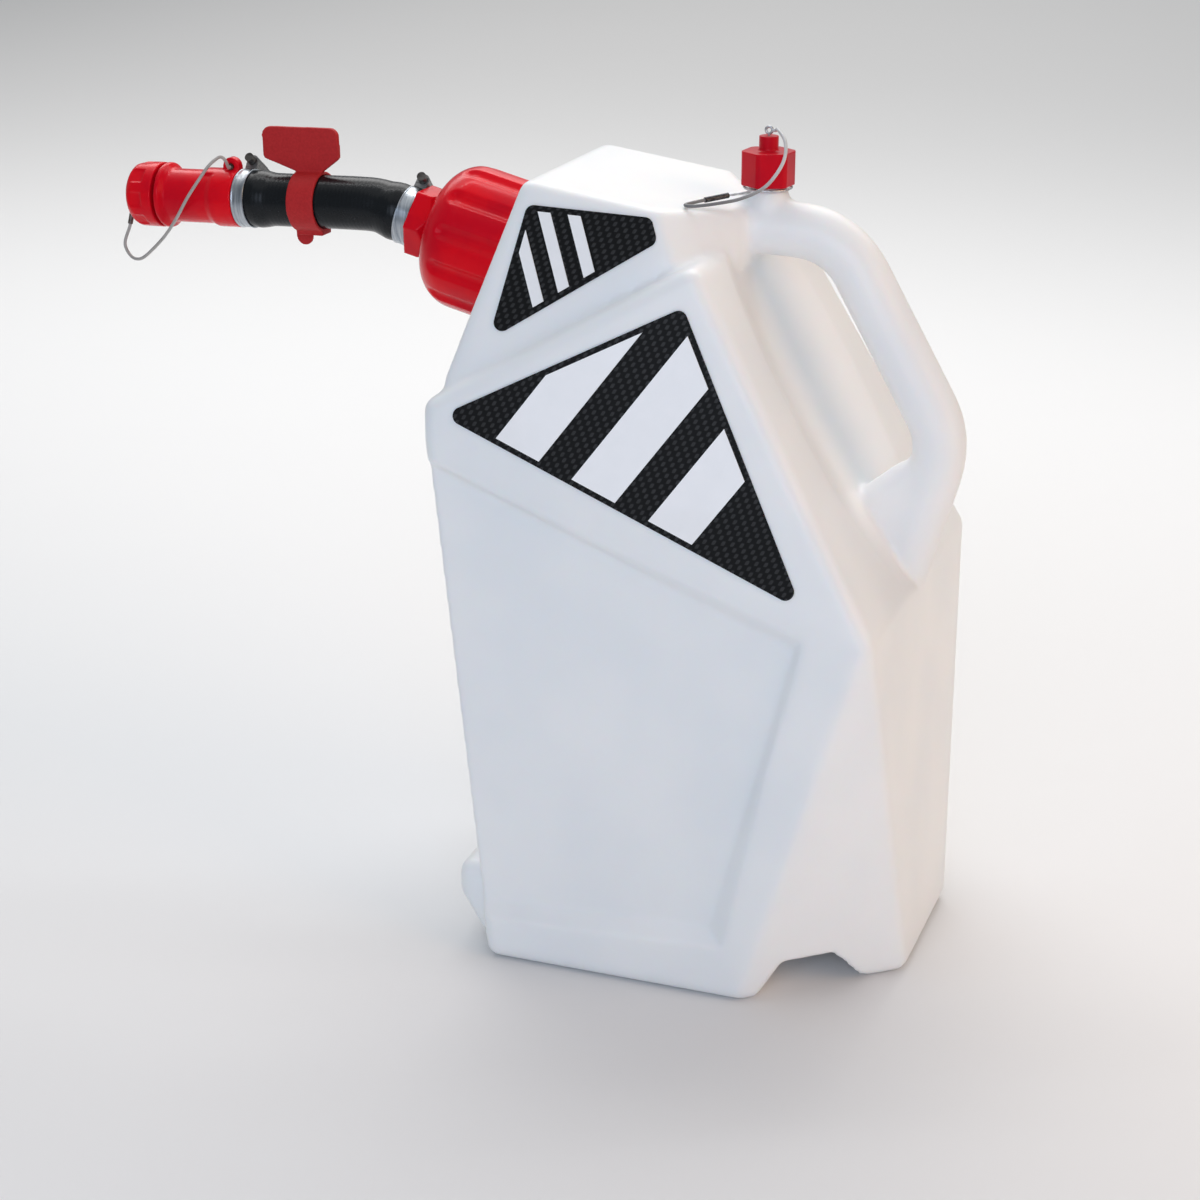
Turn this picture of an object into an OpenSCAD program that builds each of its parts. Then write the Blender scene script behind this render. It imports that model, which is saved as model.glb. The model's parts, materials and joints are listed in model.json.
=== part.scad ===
// Utility jug with a hose spout, a vent cap and a rear handle.
// Frame: +Z up, the spout points to -X, the handle is on the +X side.
// The origin is on the floor under the middle of the front foot.

/* [Tank] */
// Width over the side walls
tank_w = 221; // [200:1:245]
// Length of the front foot along the floor
foot_len = 152; // [140:1:160]
// Reach of the front corner ahead of the middle of the front foot
front_reach = 105; // [101:1:109]
// Height of the deck above the front corner of the side panel
front_h = 103; // [87:1:117]
// Drop from the front corner to the crease along the side
crease_drop = 24; // [16:1:32]
// Reach of the rear corner behind the middle of the front foot
rear_reach = 133; // [124:1:142]
// Height of the deck above the rear corner
rear_h = 210; // [197:1:222]
// Reach of the rear foot behind the middle of the front foot
heel_reach = 145; // [138:1:152]
// Width of the rear foot
heel_w = 104; // [90:1:130]
// Reach of the ridge where the rear slope begins
ridge_reach = 28; // [20:1:34]
// Height of the deck above that ridge
ridge_h = 33; // [25:1:43]
// Width of that ridge
ridge_w = 172; // [156:1:184]
// Rounding of the outer edges
edge_r = 8; // [6:0.5:10]
// Thickness of the moulded wall
wall = 3; // [2:0.25:3.5]
// Depth of the hollow in the rear slope behind the grip
slope_depth = 6; // [3:0.5:8]
// Width of that hollow
slope_w = 96; // [80:1:110]

/* [Top block] */
// Height of the front edge of the deck above the floor
deck_h = 417; // [412:1:422]
// Reach of the front edge of the deck ahead of the middle of the front foot
deck_front = 71; // [67:1:75]
// Reach of the rear edge of the deck behind the middle of the front foot
deck_rear = 6; // [0:1:10]
// Drop of the deck from its front edge to its rear edge
deck_drop = 12; // [8:1:16]
// Rise of the rear corners of the deck above its middle
deck_crown = 2; // [0:0.5:4]
// Width of the deck
deck_w = 124; // [112:1:136]
// Reach of the rear shoulder where the handle leaves the block
shoulder_reach = 36; // [32:1:42]
// Width of the front face at its foot
face_w = 196; // [184:1:204]
// Height of the front face from its foot to the deck
face_h = 99; // [91:1:107]
// Rounding of the edges of the top block
block_r = 6.5; // [5:0.5:8]

/* [Side recess, arch and toe] */
// Depth of the recess in each side wall
recess_depth = 7; // [4:0.5:9]
// Run of the sloping border of the recess
recess_slope = 9; // [5:1:14]
// Height of the arch between the two feet
arch_h = 22; // [16:1:28]
// Length of the arch along the floor
arch_len = 49; // [42:1:54]
// Reach of the toe ledge ahead of the middle of the front foot
toe_reach = 98; // [94:1:102]
// Width of the toe ledge
toe_w = 188; // [170:1:200]
// Height of the top of the toe ledge
toe_h = 47; // [40:1:56]
// Height of the toe ledge above the floor
toe_lift = 4; // [3:0.5:8]
// Height up to which the lower front edge of the toe ledge is cut away
toe_cut = 22; // [14:1:30]

/* [Handle] */
// Diameter of the handle
handle_d = 29; // [26:0.5:34]
// Bend radius of the upper corner of the handle, to the middle of the tube
handle_top_r = 40; // [34:1:46]
// Bend radius of the lower corner of the handle, to the middle of the tube
handle_low_r = 43; // [37:1:50]
// Length of the straight grip between the two corners
grip_len = 79; // [70:1:86]
// Half width of the web that fills the foot of the grip gap
web_r = 12; // [10:0.5:13.5]

/* [Neck and collar] */
// Height of the middle of the neck above the foot of the front face
neck_h = 45; // [42:1:48]
// Slope of the neck above the level
neck_rise = 14.5; // [13:0.5:16]
// Outer diameter of the neck
neck_od = 60; // [56:0.5:62]
// Bore of the neck
neck_bore = 52; // [46:0.5:53]
// Pitch of the screw thread on the neck
neck_pitch = 6; // [5:0.5:7]
// Height of the thread on the neck
neck_thread_h = 1.8; // [1.2:0.1:2.2]
// Turns of thread on the neck
neck_turns = 2; // [1.5:0.25:2.25]
// Thickness of the side wall of the screw collar
collar_wall = 7.05; // [6:0.05:8.5]
// Length of the screw collar
collar_len = 52.5; // [50:0.5:56]
// Gap between the collar and the front face
collar_gap = 4; // [3.5:0.5:6]
// Rounding of the front of the collar
collar_round = 20; // [16:0.5:21]
// Thickness of the front wall of the collar
collar_front = 9; // [7:0.5:11]
// Diameter of the hole in the front of the collar
collar_hole = 45; // [42:0.5:48]
// Finger flutes round the collar
flutes = 12; // [8:1:16]
// Depth of a finger flute
flute_depth = 1.8; // [1:0.1:2.2]
// Radius of a finger flute
flute_r = 9; // [7:0.5:11]

/* [Hose adapter] */
// Width of the hexagon of the adapter across its flats
hex_af = 35; // [34:0.5:38]
// Length of the hexagon of the adapter
hex_len = 8; // [6:0.5:10]
// Length of the adapter in front of the collar
adapter_out = 13; // [12:0.5:16]
// Diameter of the waist of the adapter in the hole of the collar
waist_d = 34; // [32:0.5:34.5]
// Bore of the adapter and the nozzle
flow_bore = 18; // [15:0.5:20]
// Length of the barbed stub inside each end of the hose
stub_len = 15; // [13:1:17]

/* [Hose] */
// Outer diameter of the hose
hose_od = 29; // [28:0.25:30]
// Bore of the hose
hose_id = 22; // [21.5:0.25:23]
// Outer diameter of the hose where it is stretched over a stub
hose_end_od = 30.5; // [30.25:0.25:31.5]
// Bend radius of the hose, to the middle of the tube
hose_bend_r = 37; // [32:1:50]
// Straight length of hose after the bend
hose_last = 76.5; // [74:0.5:80]
// Slope of the nozzle below the level
nozzle_droop = 1.5; // [0:0.5:4]

/* [Hose clamps] */
// Width of a clamp band
band_w = 7.5; // [6:0.5:9]
// Thickness of a clamp band
band_t = 0.9; // [0.6:0.1:1.2]
// Length of the worm screw housing
housing_len = 13; // [10:0.5:16]
// Diameter of the worm screw
worm_d = 5; // [4:0.25:6]
// Width of the worm screw head across its flats
worm_head_af = 6; // [5:0.25:6.5]
// Turn of the housings from the top towards the far side
housing_turn = 36; // [20:1:60]

/* [Hose tag] */
// Width of the strap of the tag
strap_w = 16; // [12:0.5:18]
// Thickness of the strap of the tag
strap_t = 1.8; // [1.2:0.1:2.4]
// Width of the paddle of the tag
paddle_w = 46; // [38:1:52]
// Height of the paddle of the tag above the strap
paddle_h = 24; // [20:1:28]
// Thickness of the paddle of the tag
paddle_t = 3; // [2:0.25:4]
// Width of the tail of the tag
tail_w = 10; // [7:0.5:12]
// Drop of the tail of the tag below the strap
tail_drop = 8; // [6:0.5:10]
// Distance of the tag from the bend of the hose
tag_at = 34; // [26:1:40]

/* [Nozzle and end cap] */
// Outer diameter of the nozzle barrel
nozzle_od = 29.5; // [28:0.5:31]
// Length of the nozzle from the hose to the end cap
nozzle_len = 47; // [42:1:54]
// Diameter of the front rim of the nozzle
rim_od = 36; // [34:0.5:37]
// Outer diameter of the threaded tip of the nozzle
tip_od = 24; // [23:0.5:25]
// Pitch of the thread on the nozzle tip
tip_pitch = 3; // [2.5:0.5:4]
// Height of the thread on the nozzle tip
tip_thread_h = 1; // [0.6:0.1:1.2]
// Length of the threaded tip of the nozzle
tip_len = 13; // [12:0.5:14]
// Turns of thread on the nozzle tip
tip_turns = 2; // [1.5:0.25:2]
// Outer diameter of the end cap
cap_od = 36; // [34:0.5:38]
// Length of the end cap
cap_len = 18; // [16.5:0.5:21]
// Rounding of the front of the end cap
cap_round = 7; // [4:0.5:8]
// Finger pockets round the end cap
cap_pockets = 8; // [6:1:10]
// Width of a finger pocket
pocket_w = 8.5; // [6:0.5:9.5]
// Depth of a finger pocket
pocket_depth = 1.2; // [0.6:0.1:1.8]

/* [Vent] */
// Reach of the vent behind the middle of the front foot
vent_reach = 43; // [40:1:46]
// Outer diameter of the base of the vent neck
vent_base_od = 22; // [20:0.5:24]
// Outer diameter of the threaded vent neck
vent_od = 16; // [14:0.5:17]
// Bore of the vent neck
vent_bore = 10; // [8:0.5:11]
// Height of the foot of the vent cap above the rear edge of the deck
vent_cap_foot = 7; // [6:0.5:9]
// Width of the vent cap across its flats
vent_cap_af = 25; // [24:0.5:28]
// Height of the vent cap without its boss
vent_cap_h = 17.5; // [16:0.5:20]
// Diameter of the boss on the vent cap
boss_d = 10; // [8:0.5:12]
// Height of the boss on the vent cap
boss_h = 7.5; // [6:0.5:9]
// Pitch of the vent thread
vent_pitch = 3; // [2.5:0.5:3.5]
// Height of the vent thread
vent_thread_h = 1; // [0.6:0.1:1.2]
// Turns of the vent thread
vent_turns = 1.75; // [1.25:0.25:1.75]

/* [Panels] */
// Thickness of the dark panels stuck to the sides
panel_t = 0.8; // [0.5:0.1:1.2]
// Rounding of the corners of the panels
panel_r = 4.5; // [3:0.5:7]
// Thickness of the pale bars on the panels
bar_t = 0.4; // [0.3:0.1:0.8]

/* [Lanyards] */
// Diameter of the wire of the lanyards
wire_d = 1.8; // [1.4:0.1:2.2]
// Diameter of the crimped ferrules
ferrule_d = 2.8; // [2.4:0.1:3.2]
// Length of the crimped ferrules
ferrule_len = 7; // [5:0.5:9]
// Diameter of the bare strand of the eyes and the ring
strand_d = 1.4; // [1:0.1:1.6]
// Inner diameter of the eye on the vent cap
eye_id = 2; // [1.6:0.2:2.6]

/* [Hidden] */
// Overrun of cuts past the faces that they open
over = 1;
// Clearance between parts that slide or turn on each other
play = 0.4;
// Clearance between parts that are pressed or clamped together
snug = 0.05;
// Facets of a corner under a hull, of a true circle, of a bent tube and of small wires
corner_fn = 22;
round_fn = 96;
tube_fn = 48;
strand_fn = 24;
wire_sides = 8;
// A faceted ball is made this much larger, so that its flats reach the true radius
ball_fit = 1 / cos(180 / corner_fn);
// A hexagon is this much wider over its corners than over its flats
hex_share = 1 / cos(30);
// Steps in a turn of a screw ridge, and its half width at foot and crest as shares of the pitch
thread_steps = 30;
thread_foot_share = 0.34;
thread_crest_share = 0.14;
// Depth to which a ridge or a neck is sunk into the wall that carries it
root_sink = wall / 4;
// A bend in a tube is this much slimmer all round than the straight runs beside it
bend_slim = 0.2;

// The point at a distance from another, along a heading in a flat drawing
function turn_out(p, heading, d) = [p.x + d * cos(heading), p.y + d * sin(heading)];
function unit(v) = v / norm(v);

// Heights above the floor of the corners that hang from the deck
front_top = deck_h - front_h;
rear_top = deck_h - rear_h;
ridge_top = deck_h - ridge_h;
face_foot = deck_h - face_h;
deck_rear_h = deck_h - deck_drop;

// Tank corners as [reach, half width, height, outward x, outward z]
half_foot = foot_len / 2;
half_w = tank_w / 2;
front_corner = [-front_reach, half_w, front_top, -1, 1];
ridge_corner = [ridge_reach, ridge_w / 2, ridge_top, 0, 1];
rear_corner = [rear_reach, half_w - edge_r / 3, rear_top, 1, 0];
tank_corners = [
  [-half_foot, half_w, 0, -1, -1],
  [half_foot, half_w, 0, 1, -1],
  [heel_reach, heel_w / 2, 0, 1, -1],
  [-front_reach, half_w, front_top - crease_drop, -1, 0],
  front_corner,
  ridge_corner,
  rear_corner
];

// Top block corners in the same form; the face is the front, the knee the rear side corner
face_reach = front_reach - 2 * wall;
deck_corner = [-deck_front, deck_w / 2, deck_h, -1, 1];
face_corner = [-face_reach, face_w / 2, face_foot, -1, 0];
knee_drop = 23;
knee_corner = [deck_rear + knee_drop / 2, deck_w / 2 + knee_drop / 3, deck_rear_h - knee_drop, 1, 0];

// The rear corner of the deck lies in the plane of the side facet, which carries a panel
side_seat = corner_centre(face_corner, -1, block_r);
side_normal = cross(
  corner_centre(knee_corner, -1, block_r) - side_seat,
  corner_centre(deck_corner, -1, block_r) - side_seat
);
tail_x = deck_rear - block_r / 2;
tail_z = deck_rear_h + deck_crown - block_r;
tail_half = block_r - side_seat.y
  + (side_normal.x * (tail_x - side_seat.x) + side_normal.z * (tail_z - side_seat.z)) / side_normal.y;
tail_corner = [deck_rear, tail_half, deck_rear_h + deck_crown, 0.5, 1];
block_corners = [
  deck_corner,
  tail_corner,
  [shoulder_reach, handle_d / 2 + edge_r, deck_rear_h - wall, 1, 1],
  knee_corner,
  [shoulder_reach, handle_d, ridge_top - edge_r, 1, 0],
  face_corner
];

// Toe ledge corners in the same form
toe_root = half_foot - 2 * edge_r;
toe_corners = [
  [-toe_reach, toe_w / 2, toe_cut, -1, -1],
  [-toe_reach + toe_cut / 2, toe_w / 2, toe_lift, -1, -1],
  [-toe_reach, toe_w / 2, toe_h, -1, 1],
  [-toe_root, toe_w / 2, toe_lift, 1, -1],
  [-toe_root, toe_w / 2, toe_h, 1, 1]
];

// Floor of the side recess as [reach, height], from the top of the front edge round
recess_band = 31;
recess_front = [-front_reach - edge_r, front_top - crease_drop - recess_slope];
recess_back = [rear_reach - recess_band - recess_slope, rear_top - recess_slope / 2];
recess_heel = [half_foot - recess_band / 2 - recess_slope, recess_band + recess_slope];
recess_toe = [-front_reach - edge_r, recess_band];
recess_floor = [recess_front, recess_back, recess_heel, recess_toe];

// Arch behind the front foot
arch_front = half_foot;
arch_rear = arch_front + arch_len;
arch_rise_share = 0.27;

// Hollow in the rear slope: a long shallow round cut that fades out at both ends
slope_top = [ridge_reach, ridge_top];
slope_foot = [rear_reach, rear_top];
slope_len = norm(slope_foot - slope_top);
slope_heading = atan2(slope_foot.y - slope_top.y, slope_foot.x - slope_top.x);
slope_middle = (slope_top + slope_foot) / 2;
slope_cut_r = (pow(slope_w / 2, 2) + pow(slope_depth, 2)) / (2 * slope_depth);
slope_sweep_r = (pow(slope_len / 2, 2) + pow(slope_depth, 2)) / (2 * slope_depth);

// Handle path in the side plane; it starts inside the top block and ends inside the tank
handle_lead = 39;
handle_heading = -2;
handle_top_turn = -58;
handle_low_turn = -46;
handle_root = 76;
handle_start = [shoulder_reach - handle_d / 2, deck_rear_h - handle_d / 2 + wall / 4];
handle_path = [
  ["run", handle_lead],
  ["bend", handle_top_r, handle_top_turn],
  ["run", grip_len],
  ["bend", handle_low_r, handle_low_turn],
  ["run", handle_root]
];

// Web at the foot of the handle: a ball on the slope, one beside the lower bend, one in the root
web_share = 0.22;
web_beside = [1.2, 1];
web_below = [0.8, -2];
web_on = slope_foot + web_share * (slope_top - slope_foot) + [0, web_r / 3];
web_points = [web_on, web_on + web_beside * web_r, web_on + web_below * web_r];

// The front face leans back by this angle, and the neck stands almost square to it
face_tilt = atan((face_reach - deck_front) / face_h);
neck_heading = 180 - neck_rise;
neck_seat = [-face_reach + neck_h * tan(face_tilt), face_foot + neck_h];

// Stations along the neck, from the front face outwards
gasket_t = 2.5;
flange_t = 4;
washer_t = 1.2;
collar_end = collar_gap + collar_len;
washer_at = collar_end - collar_front - washer_t;
flange_at = washer_at - flange_t;
neck_len = flange_at - gasket_t;
hex_end = collar_end + adapter_out;
hex_at = hex_end - hex_len;
flange_od = neck_od - 2 * play;
collar_bore = neck_od + 2 * neck_thread_h + 2 * play;
collar_od = collar_bore + 2 * collar_wall;
collar_turns = 1.25;
thread_lip = 2.5;
neck_thread_at = neck_len - thread_lip - neck_turns * neck_pitch;
hex_ramp = 4;

// Stubs with barbs, and the cuffs of the hose that are stretched over them
barbs = 3;
barb_h = 1;
cuff_bore = hose_id + hose_end_od - hose_od;
stub_gap = 1;
hose_cuff = stub_len + stub_gap;
hose_cone = 4;

// Hose: a cuff and its cone, a bend to the level, then straight to the nozzle
hose_seat = turn_out(neck_seat, neck_heading, hex_end);
hose_first = hose_cuff + hose_cone;
hose_bend = neck_rise + nozzle_droop;
nozzle_heading = neck_heading + hose_bend;
bend_seat = turn_out(hose_seat, neck_heading, hose_first);
bend_chord = 2 * hose_bend_r * sin(hose_bend / 2);
last_seat = turn_out(bend_seat, neck_heading + hose_bend / 2, bend_chord);
nozzle_seat = turn_out(last_seat, nozzle_heading, hose_last);
hose_inset = over + snug;
hose_path = [
  ["run", hose_first - hose_inset],
  ["bend", hose_bend_r, hose_bend],
  ["run", hose_last - hose_inset]
];

// Hose clamps: a band, and on it a housing that holds the worm screw
band_inset = 0.4;
band_od = hose_end_od + 2 * band_t;
band_top = band_od / 2;
housing_w = 7;
housing_seat = sqrt(pow(band_top, 2) - pow(housing_len / 2, 2));
worm_axis = band_top + worm_d / 2 + band_t;
worm_tail = 5;
worm_head_len = 5;
worm_slot = 1.2;

// Hose tag
strap_r = hose_od / 2 + snug;
strap_top = strap_r + strap_t;
paddle_shift = 4.5;
paddle_top_r = 5;
paddle_low_r = 3;
paddle_low = 9;
buckle_w = 11;
buckle_lip = 1.6;
tail_shift = 5.5;

// Nozzle stations from the hose outwards
rear_rim_len = 13;
rear_cone_len = 3.5;
front_rim_len = 2.5;
front_cone_len = 2;
pad_w = 14;
pad_len = 20.5;
lug_t = 5;
lug_len = 10;
lug_bore = 3.4;
lug_rise = 6.5;
lug_top = band_top + lug_rise;
lug_hole_up = lug_top - lug_len / 2;

// End cap stations
cap_gap = 2.2;
seal_t = 1.5;
cap_at = nozzle_len + cap_gap;
cap_end = cap_at + cap_len;
cap_bore = tip_od + 2 * tip_thread_h + 2 * play;
cap_roof = cap_end - (nozzle_len + tip_len + seal_t);
cap_turns = tip_turns - 0.5;
cap_lip = 6;
rivet_d = 7;
rivet_t = 1.6;
post_d = rivet_d / 2;
rivet_head_at = cap_end + 2 * play + strand_d;

// Vent stations above the floor
vent_gap = 1;
vent_rise = 11;
vent_cap_at = deck_rear_h + vent_cap_foot;
vent_top = vent_cap_at + vent_rise;
vent_foot = deck_rear_h - handle_d / 2;
vent_cap_bore = vent_od + 2 * vent_thread_h + 2 * play;
vent_cap_turn = 24.2;
vent_cap_corner_share = 1.1;
vent_cap_corner_d = vent_cap_corner_share * vent_cap_af;
vent_seal_t = 1.5;
boss_top = vent_cap_at + vent_cap_h + boss_h;
eye_r = (eye_id + strand_d) / 2;
eye_h = boss_top + play + strand_d / 2 + eye_r;

// Panels: corner circles as shares along and across the facet that carries them
large_panel_shares = [[0.054, 0.042], [0.369, 0.854], [0.817, 0.064]];
small_panel_shares = [[0.298, 0.209], [0.609, 0.819], [0.990, 0.309], [0.979, 0.218]];
large_bar_shares = [0.24, 0.42, 0.60];
large_bar_w_share = 0.10;
small_bar_shares = [0.50, 0.62, 0.74];
small_bar_w_share = 0.05;
bar_margin = 3;
bar_slant = 12;

// A point given as [up, aside, out] in the frame of a seat and a heading
function placed(p, heading, v) = [
  p.x + v.x * sin(heading) + v.z * cos(heading),
  v.y,
  p.y - v.x * cos(heading) + v.z * sin(heading)
];

// Ends of the wire of the end cap: on the lug, and on the ferrule below the rivet
lug_wire_end = placed(nozzle_seat, nozzle_heading, [lug_hole_up, -lug_t / 2 - wire_d / 2, lug_len / 2]);
cap_eye_r = post_d / 2 + play + strand_d / 2;
cap_eye_out = cap_end + play + strand_d / 2;
cap_eye_low = placed(nozzle_seat, nozzle_heading, [-cap_eye_r, 0, cap_eye_out]);
hang_start = [-10, -3, 1.6];
hang_slope = [-7, -2, 1];
cap_ferrule_top = placed(nozzle_seat, nozzle_heading, [0, 0, cap_eye_out] + hang_start);
cap_ferrule_low = cap_ferrule_top + ferrule_len
  * unit(placed([0, 0], nozzle_heading, hang_slope));

// Ends of the wire of the vent cap: on the eye, and on the ferrule by the ring
vent_datum = [vent_reach, 0, deck_rear_h];
vent_wire_end = [vent_reach + eye_r, 0, eye_h];
vent_ferrule_far = vent_datum + [-24, -30, 3];
vent_ferrule_dir = unit([9, 11, 1]);
vent_ferrule_near = vent_ferrule_far + 2 * ferrule_len * vent_ferrule_dir;
ring_r = vent_base_od / 2 + play + strand_d / 2;
ring_h = vent_cap_at - play - strand_d / 2;

// Routes of the wires between their ends, as points chosen by hand
nozzle_datum = [nozzle_seat.x, 0, nozzle_seat.y];
nozzle_route = [
  [-5.5, -8, 21.5], [-7, -10, 24], [-9, -12.5, 23], [-12, -16, 19.5], [-15.5, -19.5, 13.5],
  [-23, -21.5, 2.5], [-32.5, -19, -10.5], [-43.5, -15, -22.5], [-57.5, -12, -34.5],
  [-65.5, -9, -37.5], [-71.5, -6.5, -35.5], [-74, -6, -29.5]
];
vent_route = [
  [5.5, -2.5, 35.5], [11, -9, 31.5], [13, -15, 25], [11, -19.5, 18], [5, -24, 10], [-5, -30, 5],
  [-16, -37, 3], [-26, -42, 2], [-31, -40, 2]
];
nozzle_wire = concat(
  [lug_wire_end, lug_wire_end - [0, wire_d, 0]],
  [for (p = nozzle_route) nozzle_datum + p],
  [cap_ferrule_low + wire_d * unit(cap_ferrule_low - cap_ferrule_top), cap_ferrule_low]
);
vent_wire = concat(
  [vent_wire_end, vent_wire_end + [wire_d, 0, 0]],
  [for (p = vent_route) vent_datum + p],
  [vent_ferrule_far - wire_d * vent_ferrule_dir, vent_ferrule_far]
);

// Centre of a rounded corner on the side y
function corner_centre(c, y, r) = [c[0] - c[3] * r, y * (c[1] - r), c[2] - c[4] * r];

// A block with rounded corners on both sides; grow offsets it all round
module rounded_block(corners, r, grow = 0) {
  hull()
    for (c = corners, y = [-1, 1])
      translate(corner_centre(c, y, r))
        sphere((r + grow) * ball_fit, $fn = corner_fn);
}

// Places a flat drawing in the plane of symmetry at a point, turned to a heading
module in_side_plane(p, heading) {
  translate([p.x, 0, p.y]) rotate([90, 0, 0]) rotate(heading) children();
}

// Places an upright piece at a point of the plane of symmetry, along a heading
module along(p, heading) {
  translate([p.x, 0, p.y]) rotate([0, 90 - heading, 0]) children();
}

// A round bar along runs and bends; each run reaches a little into the slimmer bends
module chain(steps, d, i = 0) {
  if (i < len(steps)) {
    s = steps[i];
    if (s[0] == "run") {
      rotate([0, 90, 0])
        translate([0, 0, -over]) cylinder(d = d, h = s[1] + 2 * over, $fn = tube_fn);
      translate([s[1], 0, 0]) chain(steps, d, i + 1);
    } else {
      side = sign(s[2]);
      mirror([0, (1 - side) / 2, 0])
        translate([0, s[1], 0]) rotate(-90)
          rotate_extrude(angle = abs(s[2]), $fn = round_fn)
            translate([s[1], 0]) circle(d = d - 2 * bend_slim, $fn = tube_fn);
      translate([0, side * s[1], 0]) rotate(s[2]) translate([0, -side * s[1], 0])
        chain(steps, d, i + 1);
    }
  }
}

// A screw ridge that winds up from the foot: its section goes from one radius to the crest
module screw_ridge(foot_r, crest_r, pitch, turns) {
  n = ceil(turns * thread_steps);
  foot_w = pitch * thread_foot_share;
  crest_w = pitch * thread_crest_share;
  outside = [[foot_r, -foot_w], [crest_r, -crest_w], [crest_r, crest_w], [foot_r, foot_w]];
  section = crest_r > foot_r ? outside : [for (i = [3:-1:0]) outside[i]];
  points = [
    for (i = [0:n], q = section)
      let (a = 360 * i / thread_steps)
        [q[0] * cos(a), q[0] * sin(a), q[1] + pitch * i / thread_steps]
  ];
  sides = [
    for (i = [0:n - 1], k = [0:3])
      let (a = 4 * i + k, b = 4 * i + (k + 1) % 4)
        each [[a, b, a + 4], [b, b + 4, a + 4]]
  ];
  polyhedron(points, concat([[3, 2, 1, 0]], sides, [[for (k = [0:3]) 4 * n + k]]));
}

module recess(grow) {
  y_in = half_w - recess_depth - grow;
  y_out = half_w + over;
  n = len(recess_floor);
  middle = [0, recess_front.y / 2];
  spread = recess_slope * (recess_depth + over) / recess_depth;
  out = [for (p = recess_floor) [sign(p.x - middle.x), sign(p.y - middle.y)]];
  wide = [for (i = [0:n - 1]) recess_floor[i] + out[i] * (spread + grow)];
  deep = [for (i = [0:n - 1]) recess_floor[i] + out[i] * grow];
  points = concat([for (p = wide) [p.x, -y_out, p.y]], [for (p = deep) [p.x, -y_in, p.y]]);
  faces = concat(
    [[for (i = [0:n - 1]) i]],
    [[for (i = [n - 1:-1:0]) n + i]],
    [for (i = [0:n - 1]) [i, n + i, n + (i + 1) % n, (i + 1) % n]]
  );
  for (m = [0, 1])
    mirror([0, m, 0]) polyhedron(points, faces);
}

module arch(grow) {
  rise = arch_len * arch_rise_share;
  rotate([90, 0, 0])
    linear_extrude(tank_w + 2 * over, center = true)
      polygon([
        [arch_front - grow, -over],
        [arch_front - grow, 0],
        [arch_front + rise - grow, arch_h + grow],
        [arch_rear - rise + grow, arch_h + grow],
        [arch_rear + grow, 0],
        [arch_rear + grow, -over]
      ]);
}

module slope_hollow(grow) {
  arc = 2 * asin(slope_len / 2 / slope_sweep_r);
  r = slope_cut_r + grow;
  in_side_plane(slope_middle, slope_heading)
    translate([0, slope_sweep_r - slope_depth]) rotate(-90 - arc / 2)
      rotate_extrude(angle = arc, $fn = round_fn)
        translate([slope_sweep_r - slope_cut_r, 0]) circle(r, $fn = round_fn);
}

module handle_tube(d) {
  in_side_plane(handle_start, handle_heading) chain(handle_path, d);
}

module handle_web() {
  hull()
    for (p = web_points)
      translate([p.x, 0, p.y]) sphere(web_r * ball_fit, $fn = corner_fn);
}

module tank_form(grow) {
  difference() {
    rounded_block(tank_corners, edge_r, grow);
    slope_hollow(-grow);
  }
  rounded_block(block_corners, block_r, grow);
  rounded_block(toe_corners, edge_r, grow);
}

module vent_neck() {
  translate([vent_reach, 0, vent_foot]) {
    cylinder(d = vent_base_od, h = vent_cap_at - vent_gap - vent_foot, $fn = round_fn);
    cylinder(d = vent_od, h = vent_top - vent_foot, $fn = round_fn);
  }
  translate([vent_reach, 0, vent_top - vent_turns * vent_pitch - vent_seal_t])
    screw_ridge(vent_od / 2 - root_sink, vent_od / 2 + vent_thread_h, vent_pitch, vent_turns);
}

module pour_neck() {
  along(neck_seat, neck_heading) {
    translate([0, 0, -wall]) cylinder(d = neck_od, h = neck_len + wall, $fn = round_fn);
    translate([0, 0, neck_thread_at])
      screw_ridge(neck_od / 2 - root_sink, neck_od / 2 + neck_thread_h, neck_pitch, neck_turns);
  }
}

module jug_body() {
  color("whitesmoke")
  difference() {
    union() {
      difference() {
        tank_form(0);
        recess(0);
        arch(0);
      }
      handle_tube(handle_d);
      handle_web();
      pour_neck();
      vent_neck();
    }
    difference() {
      union() {
        tank_form(-wall);
        handle_tube(handle_d - 2 * wall);
      }
      recess(wall);
      arch(wall);
    }
    along(neck_seat, neck_heading)
      translate([0, 0, -2 * wall])
        cylinder(d = neck_bore, h = neck_len + 2 * wall + over, $fn = round_fn);
    translate([vent_reach, 0, vent_foot])
      cylinder(d = vent_bore, h = vent_top - vent_foot + over, $fn = round_fn);
  }
}

// Frame of a facet: its origin, the directions along and across it, and its normal
function facet(a, b, c, y, r) =
  let (pa = corner_centre(a, y, r), pb = corner_centre(b, y, r), pc = corner_centre(c, y, r),
       along_it = unit(pb - pa), n = unit(cross(pb - pa, pc - pa)) * -y,
       up = cross(n, along_it))
    [pa, along_it, up, n, norm(pb - pa), (pc - pa) * up];

// Draws flat shapes on a facet, lifted clear of its faceted corners
module on_facet(f, r, lift) {
  o = f[0] + f[3] * (r * ball_fit + lift);
  multmatrix([
    [f[1].x, f[2].x, f[3].x, o.x],
    [f[1].y, f[2].y, f[3].y, o.y],
    [f[1].z, f[2].z, f[3].z, o.z],
    [0, 0, 0, 1]
  ]) children();
}

module panel_outline(f, shares) {
  hull()
    for (s = shares)
      translate([s[0] * f[4], s[1] * f[5]]) circle(panel_r, $fn = corner_fn);
}

module panel(f, r, shares) {
  color([0.07, 0.07, 0.08])
    on_facet(f, r, snug) linear_extrude(panel_t) panel_outline(f, shares);
}

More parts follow.
